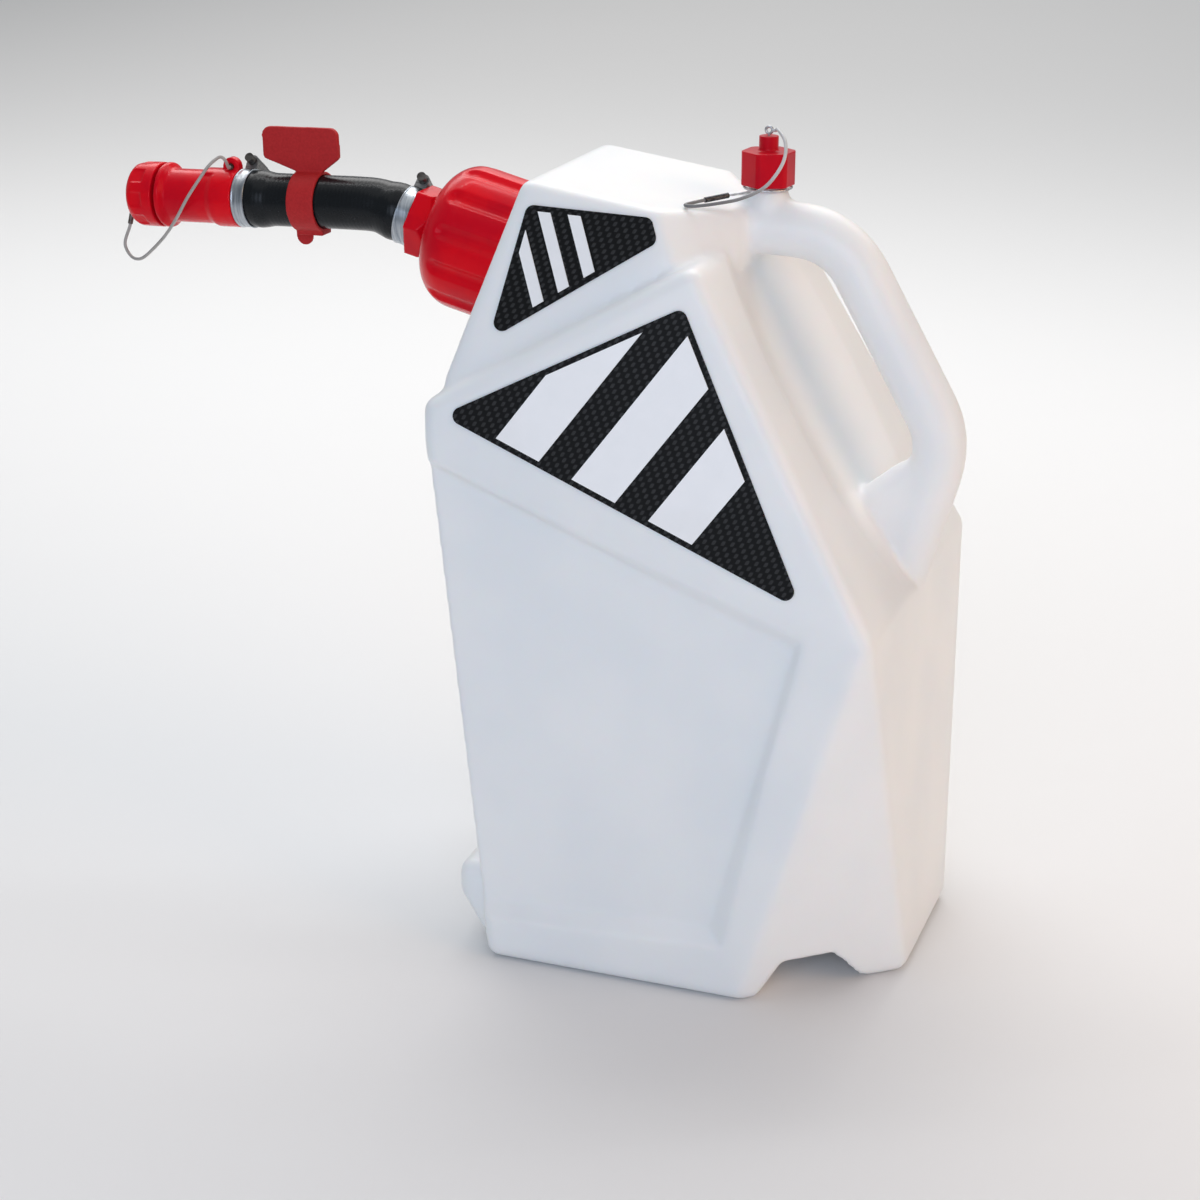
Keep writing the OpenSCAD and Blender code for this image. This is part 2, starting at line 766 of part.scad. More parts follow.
// Plain slanted bars, trimmed to stay inside the outline of their panel
module bars(f, r, shares, places, w_share) {
  color("white")
    on_facet(f, r, snug + panel_t)
      linear_extrude(bar_t)
        intersection() {
          offset(delta = -bar_margin) panel_outline(f, shares);
          for (u = places)
            translate([u * f[4], f[5] / 2])
              rotate(-bar_slant * sign(f[5])) square([w_share * f[4], 2 * abs(f[5])], center = true);
        }
}

function large_facet(y) = facet(front_corner, rear_corner, ridge_corner, y, edge_r);
function small_facet(y) = facet(face_corner, knee_corner, deck_corner, y, block_r);
module large_panel_left() { panel(large_facet(-1), edge_r, large_panel_shares); }
module large_panel_right() { panel(large_facet(1), edge_r, large_panel_shares); }
module small_panel_left() { panel(small_facet(-1), block_r, small_panel_shares); }
module small_panel_right() { panel(small_facet(1), block_r, small_panel_shares); }
module large_bars(y) {
  bars(large_facet(y), edge_r, large_panel_shares, large_bar_shares, large_bar_w_share);
}
module small_bars(y) {
  bars(small_facet(y), block_r, small_panel_shares, small_bar_shares, small_bar_w_share);
}
module large_bars_left() { large_bars(-1); }
module large_bars_right() { large_bars(1); }
module small_bars_left() { small_bars(-1); }
module small_bars_right() { small_bars(1); }

// A flat ring standing on its station
module ring(od, id, h) {
  difference() {
    cylinder(d = od, h = h, $fn = round_fn);
    translate([0, 0, -over]) cylinder(d = id, h = h + 2 * over, $fn = round_fn);
  }
}

// Half outline of a cap: straight side, rounded front edge, flat roof
module cap_half(r, len, round_r) {
  square([r, len - round_r]);
  square([r - round_r, len]);
  translate([r - round_r, len - round_r])
    intersection() {
      circle(round_r, $fn = round_fn);
      square(round_r);
    }
}

module neck_gasket() {
  color("dimgray")
    along(neck_seat, neck_heading)
      translate([0, 0, neck_len]) ring(flange_od, neck_bore, gasket_t);
}

module slip_washer() {
  color("gainsboro")
    along(neck_seat, neck_heading)
      translate([0, 0, washer_at]) ring(flange_od, collar_hole, washer_t);
}

module collar() {
  color("crimson")
  along(neck_seat, neck_heading) translate([0, 0, collar_gap]) {
    difference() {
      rotate_extrude($fn = round_fn) cap_half(collar_od / 2, collar_len, collar_round);
      translate([0, 0, -over])
        cylinder(d = collar_bore, h = collar_len - collar_front + over, $fn = round_fn);
      translate([0, 0, -over])
        cylinder(d = collar_hole, h = collar_len + 2 * over, $fn = round_fn);
      for (i = [0:flutes - 1])
        rotate(360 * (i + 0.5) / flutes)
          translate([collar_od / 2 + flute_r - flute_depth, 0, -over])
            cylinder(r = flute_r, h = collar_len + 2 * over, $fn = round_fn);
    }
    translate([0, 0, neck_thread_at + neck_pitch / 2 - collar_gap])
      screw_ridge(collar_bore / 2 + root_sink, neck_od / 2 + play, neck_pitch, collar_turns);
  }
}

// A stub with saw-tooth barbs, from its root outwards
module barbed_stub() {
  barb = stub_len / (barbs + 1);
  crest = cuff_bore - 2 * snug;
  translate([0, 0, -root_sink])
    cylinder(d = crest - 2 * barb_h, h = stub_len + root_sink, $fn = round_fn);
  for (i = [1:barbs])
    translate([0, 0, i * barb])
      cylinder(d1 = crest, d2 = crest - 2 * barb_h, h = barb, $fn = round_fn);
}

// The hexagon of the adapter with its ramp, flats on top and below
module adapter_hexagon() {
  corner_d = hex_af * hex_share;
  h = hex_ramp + hex_len;
  intersection() {
    rotate(30) cylinder(d = corner_d, h = h, $fn = 6);
    cylinder(d1 = waist_d, d2 = waist_d + (corner_d - waist_d) * h / hex_ramp, h = h, $fn = round_fn);
  }
}

module hose_adapter() {
  color("crimson")
  along(neck_seat, neck_heading)
    difference() {
      union() {
        translate([0, 0, flange_at]) cylinder(d = flange_od, h = flange_t, $fn = round_fn);
        translate([0, 0, flange_at]) cylinder(d = waist_d, h = hex_at - flange_at, $fn = round_fn);
        translate([0, 0, hex_at - hex_ramp]) adapter_hexagon();
        translate([0, 0, hex_end]) barbed_stub();
      }
      translate([0, 0, flange_at - over])
        cylinder(d = flow_bore, h = hex_end + stub_len - flange_at + 2 * over, $fn = round_fn);
    }
}

// The end of the hose over a stub: a wide cuff, and a cone that ends just under the tube.
// The cuff starts ahead of its seat by the lead
module hose_end(cuff_d, tube_d, lead) {
  translate([0, 0, -lead]) cylinder(d = cuff_d, h = hose_cuff + lead, $fn = round_fn);
  translate([0, 0, hose_cuff])
    cylinder(d1 = cuff_d, d2 = tube_d - 2 * snug, h = hose_cone, $fn = round_fn);
}

module hose_form(cuff_d, tube_d, lead) {
  in_side_plane(turn_out(hose_seat, neck_heading, hose_inset), neck_heading)
    chain(hose_path, tube_d);
  along(hose_seat, neck_heading) hose_end(cuff_d, tube_d, lead);
  along(nozzle_seat, nozzle_heading + 180) hose_end(cuff_d, tube_d, lead);
}

module hose() {
  color([0.06, 0.07, 0.08])
    difference() {
      hose_form(hose_end_od, hose_od, -snug);
      hose_form(cuff_bore, hose_id, over);
    }
}

// Places a clamp piece: z runs along the hose, x points up
module inner_clamp() {
  along(hose_seat, neck_heading) translate([0, 0, band_inset]) children();
}
module outer_clamp() {
  along(nozzle_seat, nozzle_heading) translate([0, 0, -band_inset - band_w]) children();
}

module clamp_band() {
  color("silver") ring(band_od, hose_end_od + 2 * snug, band_w);
}

module clamp_housing() {
  color("darkgray")
  rotate(housing_turn)
    difference() {
      union() {
        translate([housing_seat, -housing_len / 2, (band_w - housing_w) / 2])
          cube([worm_axis - housing_seat, housing_len, housing_w]);
        translate([worm_axis, housing_len / 2, band_w / 2])
          rotate([90, 0, 0]) cylinder(d = housing_w, h = housing_len, $fn = round_fn);
      }
      translate([worm_axis, housing_len / 2 + over, band_w / 2])
        rotate([90, 0, 0])
          cylinder(d = worm_d + 2 * snug, h = housing_len + 2 * over, $fn = round_fn);
      translate([0, 0, -over]) cylinder(d = band_od, h = band_w + 2 * over, $fn = round_fn);
    }
}

module clamp_screw() {
  color("gray")
  rotate(housing_turn)
    translate([worm_axis, housing_len / 2 + worm_head_len, band_w / 2])
      rotate([90, 0, 0])
        difference() {
          union() {
            cylinder(d = worm_d, h = worm_head_len + housing_len + worm_tail, $fn = round_fn);
            cylinder(d = worm_head_af * hex_share, h = worm_head_len - snug, $fn = 6);
          }
          translate([-worm_d, -worm_slot / 2, -over])
            cube([2 * worm_d, worm_slot, over + worm_slot]);
        }
}

module inner_clamp_band() { inner_clamp() clamp_band(); }
module inner_clamp_housing() { inner_clamp() clamp_housing(); }
module inner_clamp_screw() { inner_clamp() clamp_screw(); }
module outer_clamp_band() { outer_clamp() clamp_band(); }
module outer_clamp_housing() { outer_clamp() clamp_housing(); }
module outer_clamp_screw() { outer_clamp() clamp_screw(); }

// Outline of the paddle in the side plane: x up from the strap, y along the hose
module paddle_outline() {
  half = paddle_w / 2;
  hull() {
    for (y = [-1, 1]) {
      translate([paddle_h - paddle_top_r, paddle_shift + y * (half - paddle_top_r)])
        circle(paddle_top_r, $fn = corner_fn);
      translate([paddle_low, paddle_shift + y * (half - paddle_low_r)])
        circle(paddle_low_r, $fn = corner_fn);
    }
    translate([0, -strap_w / 2]) square([paddle_low, strap_w]);
  }
  translate([-strap_t, -strap_w / 2]) square([strap_t + paddle_low, strap_w]);
}

// The tag: a strap round the hose, a paddle on top, a buckle lip and a tail below
module hose_tag() {
  color("firebrick")
  along(turn_out(last_seat, nozzle_heading, tag_at), nozzle_heading)
    difference() {
      union() {
        translate([0, 0, -strap_w / 2]) cylinder(r = strap_top, h = strap_w, $fn = round_fn);
        rotate([90, 0, 0])
          linear_extrude(paddle_t, center = true)
            translate([strap_top, 0]) paddle_outline();
        translate([-strap_top - buckle_lip, -buckle_w / 2, -strap_w / 2])
          cube([strap_t + buckle_lip, buckle_w, strap_w]);
        translate([-strap_top - tail_drop, 0, tail_shift])
          rotate([90, 0, 0]) tail_outline();
      }
      translate([0, 0, -strap_w]) cylinder(r = strap_r, h = 2 * strap_w, $fn = round_fn);
    }
}

// The tail hangs down from the strap and has a round end
module tail_outline() {
  linear_extrude(strap_t, center = true) {
    translate([tail_w / 2, 0]) circle(d = tail_w, $fn = round_fn);
    translate([tail_w / 2, -tail_w / 2]) square([tail_drop - tail_w / 2 + strap_t, tail_w]);
  }
}

// The nozzle: barbed stub, rear rim, barrel, front rim and threaded tip, with a bore
module nozzle() {
  color("crimson")
  along(nozzle_seat, nozzle_heading)
    difference() {
      union() {
        mirror([0, 0, 1]) barbed_stub();
        cylinder(d = band_od, h = rear_rim_len, $fn = round_fn);
        translate([0, 0, rear_rim_len])
          cylinder(d1 = band_od, d2 = nozzle_od, h = rear_cone_len, $fn = round_fn);
        cylinder(d = nozzle_od, h = nozzle_len, $fn = round_fn);
        intersection() {
          cylinder(d = band_od, h = pad_len, $fn = round_fn);
          translate([0, -pad_w / 2, 0]) cube([band_od, pad_w, pad_len]);
        }
        translate([0, 0, nozzle_len - front_rim_len - front_cone_len])
          cylinder(d1 = nozzle_od, d2 = rim_od, h = front_cone_len, $fn = round_fn);
        translate([0, 0, nozzle_len - front_rim_len])
          cylinder(d = rim_od, h = front_rim_len, $fn = round_fn);
        cylinder(d = tip_od, h = nozzle_len + tip_len, $fn = round_fn);
        translate([0, 0, nozzle_len + tip_len - tip_turns * tip_pitch - tip_pitch])
          screw_ridge(tip_od / 2 - root_sink, tip_od / 2 + tip_thread_h, tip_pitch, tip_turns);
        nozzle_lug();
      }
      translate([0, 0, -stub_len - over])
        cylinder(d = flow_bore, h = stub_len + nozzle_len + tip_len + 2 * over, $fn = round_fn);
      translate([lug_hole_up, 0, lug_len / 2])
        rotate([90, 0, 0]) cylinder(d = lug_bore, h = 2 * lug_t, center = true, $fn = round_fn);
    }
}

// The upright ear for the wire on top of the rear rim
module nozzle_lug() {
  rotate([90, 0, 0])
    linear_extrude(lug_t, center = true)
      translate([lug_hole_up, lug_len / 2]) {
        circle(d = lug_len, $fn = round_fn);
        translate([-lug_rise - root_sink, -lug_len / 2]) square([lug_rise + root_sink, lug_len]);
      }
}

module end_cap() {
  color("crimson")
  along(nozzle_seat, nozzle_heading) translate([0, 0, cap_at]) {
    difference() {
      rotate_extrude($fn = round_fn)
        difference() {
          cap_half(cap_od / 2, cap_len, cap_round);
          translate([0, -over]) square([cap_bore / 2, cap_len - cap_roof + over]);
        }
      for (i = [0:cap_pockets - 1])
        rotate(360 * i / cap_pockets)
          translate([cap_od / 2 - pocket_depth, -pocket_w / 2, cap_lip])
            cube([cap_od, pocket_w, cap_len]);
      translate([0, 0, cap_len - cap_roof / 2])
        cylinder(d = post_d + 2 * snug, h = cap_roof, $fn = round_fn);
    }
    translate([0, 0, tip_len - cap_gap - tip_turns * tip_pitch - tip_pitch / 2])
      screw_ridge(cap_bore / 2 + root_sink, tip_od / 2 + play, tip_pitch, cap_turns);
  }
}

module end_cap_seal() {
  color("dimgray")
    along(nozzle_seat, nozzle_heading)
      translate([0, 0, nozzle_len + tip_len]) ring(tip_od, flow_bore, seal_t);
}

// The rivet on which the eye of the wire swivels, in the middle of the cap
module end_cap_rivet() {
  color("silver")
  along(nozzle_seat, nozzle_heading) {
    translate([0, 0, cap_end - cap_roof / 2])
      cylinder(d = post_d, h = rivet_head_at - cap_end + cap_roof / 2 + rivet_t, $fn = round_fn);
    translate([0, 0, rivet_head_at]) cylinder(d = rivet_d, h = rivet_t, $fn = round_fn);
  }
}

module vent_cap() {
  color("crimson")
  translate([vent_reach, 0, vent_cap_at]) {
    difference() {
      union() {
        rotate(vent_cap_turn)
          intersection() {
            cylinder(d = vent_cap_af * hex_share, h = vent_cap_h, $fn = 6);
            cylinder(d = vent_cap_corner_d, h = vent_cap_h, $fn = round_fn);
          }
        cylinder(d = boss_d, h = vent_cap_h + boss_h, $fn = round_fn);
      }
      translate([0, 0, -over])
        cylinder(d = vent_cap_bore, h = vent_rise + vent_seal_t + over, $fn = round_fn);
      translate([0, 0, vent_cap_h + boss_h / 2])
        cylinder(d = strand_d + 2 * snug, h = boss_h, $fn = round_fn);
    }
    translate([0, 0, vent_rise - vent_turns * vent_pitch - vent_seal_t - vent_pitch / 2])
      screw_ridge(vent_cap_bore / 2 + root_sink, vent_od / 2 + play, vent_pitch, vent_turns);
  }
}

module vent_seal() {
  color("dimgray")
    translate([vent_reach, 0, vent_top]) ring(vent_od, vent_bore, vent_seal_t);
}

// A closed ring of bare strand, flat on the ground
module strand_ring(r) {
  rotate_extrude($fn = round_fn) translate([r, 0]) circle(d = strand_d, $fn = strand_fn);
}

// Places an upright piece at one point, turned towards another
module between(a, b) {
  d = unit(b - a);
  translate(a) rotate([0, acos(d.z), atan2(d.y, d.x)]) children();
}

// The steel eye that turns in the boss of the vent cap
module vent_swivel() {
  color("silver") {
    translate([vent_reach, 0, boss_top - boss_h / 2])
      cylinder(d = strand_d, h = boss_h / 2 + play + strand_d / 2, $fn = strand_fn);
    translate([vent_reach, 0, eye_h]) rotate([90, 0, 0]) strand_ring(eye_r);
  }
}

// A tube through points, swept with round sections
function mid_dir(p, i) = unit(p[min(i + 1, len(p) - 1)] - p[max(i - 1, 0)]);
function smooth(p, n) = [
  for (i = [0:len(p) - 2], k = [0:n - 1])
    let (t = k / n, a = p[max(i - 1, 0)], b = p[i], c = p[i + 1], d = p[min(i + 2, len(p) - 1)])
      0.5 * (2 * b + (c - a) * t + (2 * a - 5 * b + 4 * c - d) * t * t
        + (3 * b - a - 3 * c + d) * t * t * t),
  p[len(p) - 1]
];
function side_of(dir) = unit(cross(dir, abs(dir.x) < 0.8 ? [1, 0, 0] : [0, 1, 0]));
function carried(dirs, i) =
  i == 0 ? side_of(dirs[0]) : let (s = carried(dirs, i - 1)) unit(s - dirs[i] * (s * dirs[i]));
module wire(route) {
  inner = [for (i = [1:len(route) - 2]) route[i]];
  p = concat([route[0]], smooth(inner, 2), [route[len(route) - 1]]);
  n = len(p);
  dirs = [for (i = [0:n - 1]) mid_dir(p, i)];
  points = [
    for (i = [0:n - 1])
      let (s = carried(dirs, i), t = cross(dirs[i], s))
        for (k = [0:wire_sides - 1])
          p[i] + (s * cos(360 * k / wire_sides) + t * sin(360 * k / wire_sides)) * wire_d / 2
  ];
  sides = [
    for (i = [0:n - 2], k = [0:wire_sides - 1])
      let (a = wire_sides * i + k, b = wire_sides * i + (k + 1) % wire_sides)
        each [[a, a + wire_sides, b], [b, a + wire_sides, b + wire_sides]]
  ];
  polyhedron(points, concat(
    [[for (k = [0:wire_sides - 1]) k]],
    sides,
    [[for (k = [wire_sides - 1:-1:0]) wire_sides * (n - 1) + k]]
  ));
}

module nozzle_lanyard() { color("gainsboro") wire(nozzle_wire); }
module vent_lanyard() { color("gainsboro") wire(vent_wire); }

// The ferrule that holds the wire in the hole of the lug
module lug_ferrule() {
  color("dimgray")
    between(lug_wire_end, lug_wire_end + [0, wire_d, 0])
      cylinder(d = lug_bore - 2 * snug, h = lug_t + wire_d, $fn = round_fn);
}

// The ferrule below the rivet, and the eye of bare strand that hangs from the rivet
module end_cap_ferrule() {
  color("dimgray")
    between(cap_ferrule_low, cap_ferrule_top)
      cylinder(d = ferrule_d, h = ferrule_len, $fn = round_fn);
}

module end_cap_eye() {
  color("silver") {
    along(nozzle_seat, nozzle_heading) translate([0, 0, cap_eye_out]) strand_ring(cap_eye_r);
    between(cap_eye_low, cap_ferrule_top)
      cylinder(d = strand_d, h = norm(cap_ferrule_top - cap_eye_low), $fn = strand_fn);
  }
}

module vent_ferrule() {
  color("dimgray")
    between(vent_ferrule_far, vent_ferrule_near)
      cylinder(d = ferrule_d, h = 2 * ferrule_len, $fn = round_fn);
}

// The ring round the foot of the vent, and the strand that leaves it for the ferrule
module vent_ring() {
  b = [vent_ferrule_near.x - vent_reach, vent_ferrule_near.y];
  a = atan2(b.y, b.x) + acos(ring_r / norm(b)) / 2;
  leave = [vent_reach + ring_r * cos(a), ring_r * sin(a), ring_h];
  color("silver") {
    translate([vent_reach, 0, ring_h]) strand_ring(ring_r);
    between(vent_ferrule_near, leave)
      cylinder(d = strand_d - 2 * snug, h = norm(leave - vent_ferrule_near), $fn = strand_fn);
  }
}

jug_body();
large_panel_left();
large_panel_right();
small_panel_left();
small_panel_right();
large_bars_left();
large_bars_right();
small_bars_left();
small_bars_right();
neck_gasket();
collar();
slip_washer();
hose_adapter();
hose();
inner_clamp_band();
inner_clamp_housing();
inner_clamp_screw();
outer_clamp_band();
outer_clamp_housing();
outer_clamp_screw();
hose_tag();
nozzle();
end_cap();
end_cap_seal();
end_cap_rivet();
lug_ferrule();
nozzle_lanyard();
end_cap_ferrule();
end_cap_eye();
vent_cap();
vent_seal();
vent_swivel();
vent_lanyard();
vent_ferrule();
vent_ring();
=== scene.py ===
# %% [markdown]
# # A white utility jug with a red hose spout
#
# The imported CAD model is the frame: it holds the real sizes and everything that moves. This script
# dresses it. Pieces whose CAD shape is right keep it and get a finish, and the rest are made again
# here with softer edges, a smooth hose and round wires, each in the place that the frame gives it.

# %% Load the frame
import json
import math

import bpy
import numpy as np
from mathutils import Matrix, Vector

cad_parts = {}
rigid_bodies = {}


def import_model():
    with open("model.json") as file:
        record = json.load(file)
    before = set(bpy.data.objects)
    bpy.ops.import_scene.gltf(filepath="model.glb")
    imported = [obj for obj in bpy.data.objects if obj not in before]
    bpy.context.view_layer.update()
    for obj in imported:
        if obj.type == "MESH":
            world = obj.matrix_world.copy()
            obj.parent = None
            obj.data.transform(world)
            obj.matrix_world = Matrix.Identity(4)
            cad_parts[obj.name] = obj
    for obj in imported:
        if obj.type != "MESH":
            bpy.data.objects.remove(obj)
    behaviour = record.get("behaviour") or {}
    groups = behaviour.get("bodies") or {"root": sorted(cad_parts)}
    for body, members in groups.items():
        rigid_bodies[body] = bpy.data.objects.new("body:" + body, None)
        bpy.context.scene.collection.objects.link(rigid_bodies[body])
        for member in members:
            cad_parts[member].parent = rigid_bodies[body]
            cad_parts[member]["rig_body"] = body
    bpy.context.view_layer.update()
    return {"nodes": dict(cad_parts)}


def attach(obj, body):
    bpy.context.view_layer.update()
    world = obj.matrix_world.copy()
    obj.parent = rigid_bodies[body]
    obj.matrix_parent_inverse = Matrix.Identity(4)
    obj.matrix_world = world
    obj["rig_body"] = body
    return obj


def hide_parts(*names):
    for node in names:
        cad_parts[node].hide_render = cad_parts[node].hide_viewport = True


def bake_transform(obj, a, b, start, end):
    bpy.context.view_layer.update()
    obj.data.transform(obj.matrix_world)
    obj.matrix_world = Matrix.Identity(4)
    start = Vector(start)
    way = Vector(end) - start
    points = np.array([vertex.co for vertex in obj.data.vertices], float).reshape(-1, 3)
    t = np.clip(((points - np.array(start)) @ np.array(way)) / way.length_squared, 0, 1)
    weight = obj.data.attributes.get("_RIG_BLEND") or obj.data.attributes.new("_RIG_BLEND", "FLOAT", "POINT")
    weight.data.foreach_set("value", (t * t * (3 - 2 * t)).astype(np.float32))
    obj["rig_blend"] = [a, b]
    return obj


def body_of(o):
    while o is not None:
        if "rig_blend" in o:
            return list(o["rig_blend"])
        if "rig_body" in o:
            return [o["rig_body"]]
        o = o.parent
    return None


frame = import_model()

MM = 0.001

# %% [markdown]
# ## The camera
#
# The photograph was taken from the right of the spout, a little above the jug, with a long lens.
# A long lens keeps upright edges nearly parallel. The camera is set from its place, the point that
# it looks at and the width of its view, so that no framing is left to chance.

# %% Set up the camera
LENS_MM = 72.0
SENSOR_MM = 36.0
camera_place = Vector((385.8, -1176.0, 645.3)) * MM
camera_target = Vector((-48.4, 0, 173.4)) * MM
camera_data = bpy.data.cameras.new("camera")
camera_data.lens = LENS_MM
camera_data.sensor_width = SENSOR_MM
camera = bpy.data.objects.new("camera", camera_data)
bpy.context.scene.collection.objects.link(camera)
camera.location = camera_place
camera.rotation_mode = "QUATERNION"
camera.rotation_quaternion = (camera_target - camera_place).to_track_quat("-Z", "Y")
bpy.context.scene.camera = camera
print("camera", round((camera_target - camera_place).length, 3), "m from its target")

# %% [markdown]
# ## Tubes along a path
#
# Wires, the hose and its bore are all round sections carried along a line of points. A section
# must not twist as it goes, so each frame is the last one, turned just enough to stay square to the
# path. A few listed points give the route, and a curve through them fills in the rest.


# %% Helpers for paths and tubes
def new_piece(name, vertices, faces):
    mesh = bpy.data.meshes.new(name)
    mesh.from_pydata([tuple(v) for v in vertices], [], faces)
    mesh.validate()
    mesh.shade_smooth()
    piece = bpy.data.objects.new(name, mesh)
    bpy.context.scene.collection.objects.link(piece)
    return piece


def through_points(points, steps):
    """A smooth line through the points, with some steps between each two."""
    p = np.array(points, float)
    line = []
    for i in range(len(p) - 1):
        a, b, c, d = p[max(i - 1, 0)], p[i], p[i + 1], p[min(i + 2, len(p) - 1)]
        square, cube = 2 * a - 5 * b + 4 * c - d, 3 * b - a - 3 * c + d
        for t in np.arange(steps) / steps:
            line.append((2 * b + (c - a) * t + square * t ** 2 + cube * t ** 3) / 2)
    return np.array(line + [p[-1]])


def line_length(line):
    return float(np.linalg.norm(np.diff(line, axis=0), axis=1).sum())


def carried_frames(line):
    """Two directions square to the line at each of its points, without twist."""
    nearly_upright = 0.9
    ahead = np.gradient(line, axis=0)
    ahead /= np.linalg.norm(ahead, axis=1)[:, None]
    side = np.cross(ahead[0], (0, 0, 1) if abs(ahead[0][2]) < nearly_upright else (1, 0, 0))
    sides = []
    for direction in ahead:
        side = side - direction * (side @ direction)
        side /= np.linalg.norm(side)
        sides.append(side)
    return np.array(sides), np.cross(ahead, sides)


def tube_rings(line, radii, sides):
    """Rings of points round a line, one ring for each of its points."""
    a, b = carried_frames(line)
    turn = np.arange(sides) * 2 * math.pi / sides
    return [line[i] + radii[i] * (np.outer(np.cos(turn), a[i]) + np.outer(np.sin(turn), b[i]))
            for i in range(len(line))]


def axis_and_ways(heading_deg, turn):
    """The axis of a round piece in the side plane, and a direction out from it for each turn."""
    heading = math.radians(heading_deg)
    axis = np.array((math.cos(heading), 0, math.sin(heading)))
    up = np.array((math.sin(heading), 0, -math.cos(heading)))
    return axis, np.outer(np.cos(turn), up) + np.outer(np.sin(turn), (0, 1, 0))


def skin(rings, closed_loop=False):
    """Quads between rings; an open run of rings gets flat ends."""
    n, sides = len(rings), len(rings[0])
    faces = []
    for i in range(n if closed_loop else n - 1):
        j = (i + 1) % n
        for k in range(sides):
            m = (k + 1) % sides
            faces.append((i * sides + k, i * sides + m, j * sides + m, j * sides + k))
    if not closed_loop:
        faces.append(tuple(reversed(range(sides))))
        faces.append(tuple((n - 1) * sides + k for k in range(sides)))
    return np.concatenate(rings), faces


# %% [markdown]
# ## The two wires
#
# Each cap hangs on a short length of plastic-coated steel wire, so that it can't be lost. The wire
# is springy: it stands away from the jug in one wide bow and doesn't hang straight down. Both
# wires are built first, because they reach furthest out, and their length is printed.

# %% Make the wires
WIRE_D = 1.8 * MM
WIRE_SIDES = 16
WIRE_STEPS = 8
LUG_END = (-265.089, -3.4, 402.085)
CAP_FERRULE_LOW = (-330.02, -4.905, 366.055)
EYE_END = (44.7, 0, 439.8)
RING_FERRULE_FAR = (19, -30, 408)
nozzle_route = [
    LUG_END, (-265.1, -5.2, 402.1), (-265.1, -8, 406.1), (-266.6, -10, 408.6),
    (-268.6, -12.5, 407.6), (-271.6, -16, 404.1), (-275.1, -19.5, 398.1), (-282.6, -21.5, 387.1),
    (-292.1, -19, 374.1), (-303.1, -15, 362.1), (-317.1, -12, 350.1), (-325.1, -9, 347.1),
    (-331.1, -6.5, 349.1), (-333.6, -6, 355.1), (-330.23, -5.4, 364.33), CAP_FERRULE_LOW,
]
vent_route = [
    EYE_END, (46.5, 0, 439.8), (48.5, -2.5, 440.5), (54, -9, 436.5), (56, -15, 430),
    (54, -19.5, 423), (48, -24, 415), (38, -30, 410), (27, -37, 408), (17, -42, 407),
    (12, -40, 407), (17.86, -31.4, 407.89), RING_FERRULE_FAR,
]


def wire(name, route):
    line = through_points(np.array(route) * MM, WIRE_STEPS)
    vertices, faces = skin(tube_rings(line, [WIRE_D / 2] * len(line), WIRE_SIDES))
    piece = new_piece(name, vertices, faces)
    length = line_length(line)
    print(name, "is", round(length, 4), "m long")
    return piece, line, length


nozzle_wire, nozzle_line, nozzle_wire_length = wire("nozzle_wire", nozzle_route)
vent_wire, vent_line, vent_wire_length = wire("vent_wire", vent_route)
for piece, line, length, node in [
    (nozzle_wire, nozzle_line, nozzle_wire_length, "nozzle_lanyard"),
    (vent_wire, vent_line, vent_wire_length, "vent_lanyard"),
]:
    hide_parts(node)
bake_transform(nozzle_wire, "nozzle_end", "cap_swivel", start=nozzle_line[0], end=nozzle_line[-1])
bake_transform(vent_wire, "vent_link", "jug", start=vent_line[0], end=vent_line[-1])

# %% [markdown]
# ## Writing shader maths as plain expressions
#
# A material is a small program. Wiring its sums node by node hides what it works out, so a short
# class wraps a socket and lets Python's own signs add the Math nodes. Every other node comes
# from one method that takes its type, its settings and the values or links of its sockets.


# %% A material with its own small language
class Signal:
    """A value that changes over a surface. Sums on it add Math nodes to its material."""

    def __init__(self, finish, socket):
        self.finish, self.socket = finish, socket

    def sum(self, operation, *values):
        sockets = {i: value for i, value in enumerate(values)}
        return self.finish.node("ShaderNodeMath", {"operation": operation}, sockets)

    def __add__(self, other): return self.sum("ADD", self, other)
    def __radd__(self, other): return self.sum("ADD", other, self)
    def __sub__(self, other): return self.sum("SUBTRACT", self, other)
    def __rsub__(self, other): return self.sum("SUBTRACT", other, self)
    def __mul__(self, other): return self.sum("MULTIPLY", self, other)
    def __rmul__(self, other): return self.sum("MULTIPLY", other, self)
    def sine(self): return self.sum("SINE", self)

    def between(self, low, high):
        """0 below low, 1 above high, and smooth between them."""
        settings = {"interpolation_type": "SMOOTHSTEP"}
        sockets = {"Value": self, "From Min": low, "From Max": high}
        return self.finish.node("ShaderNodeMapRange", settings, sockets)


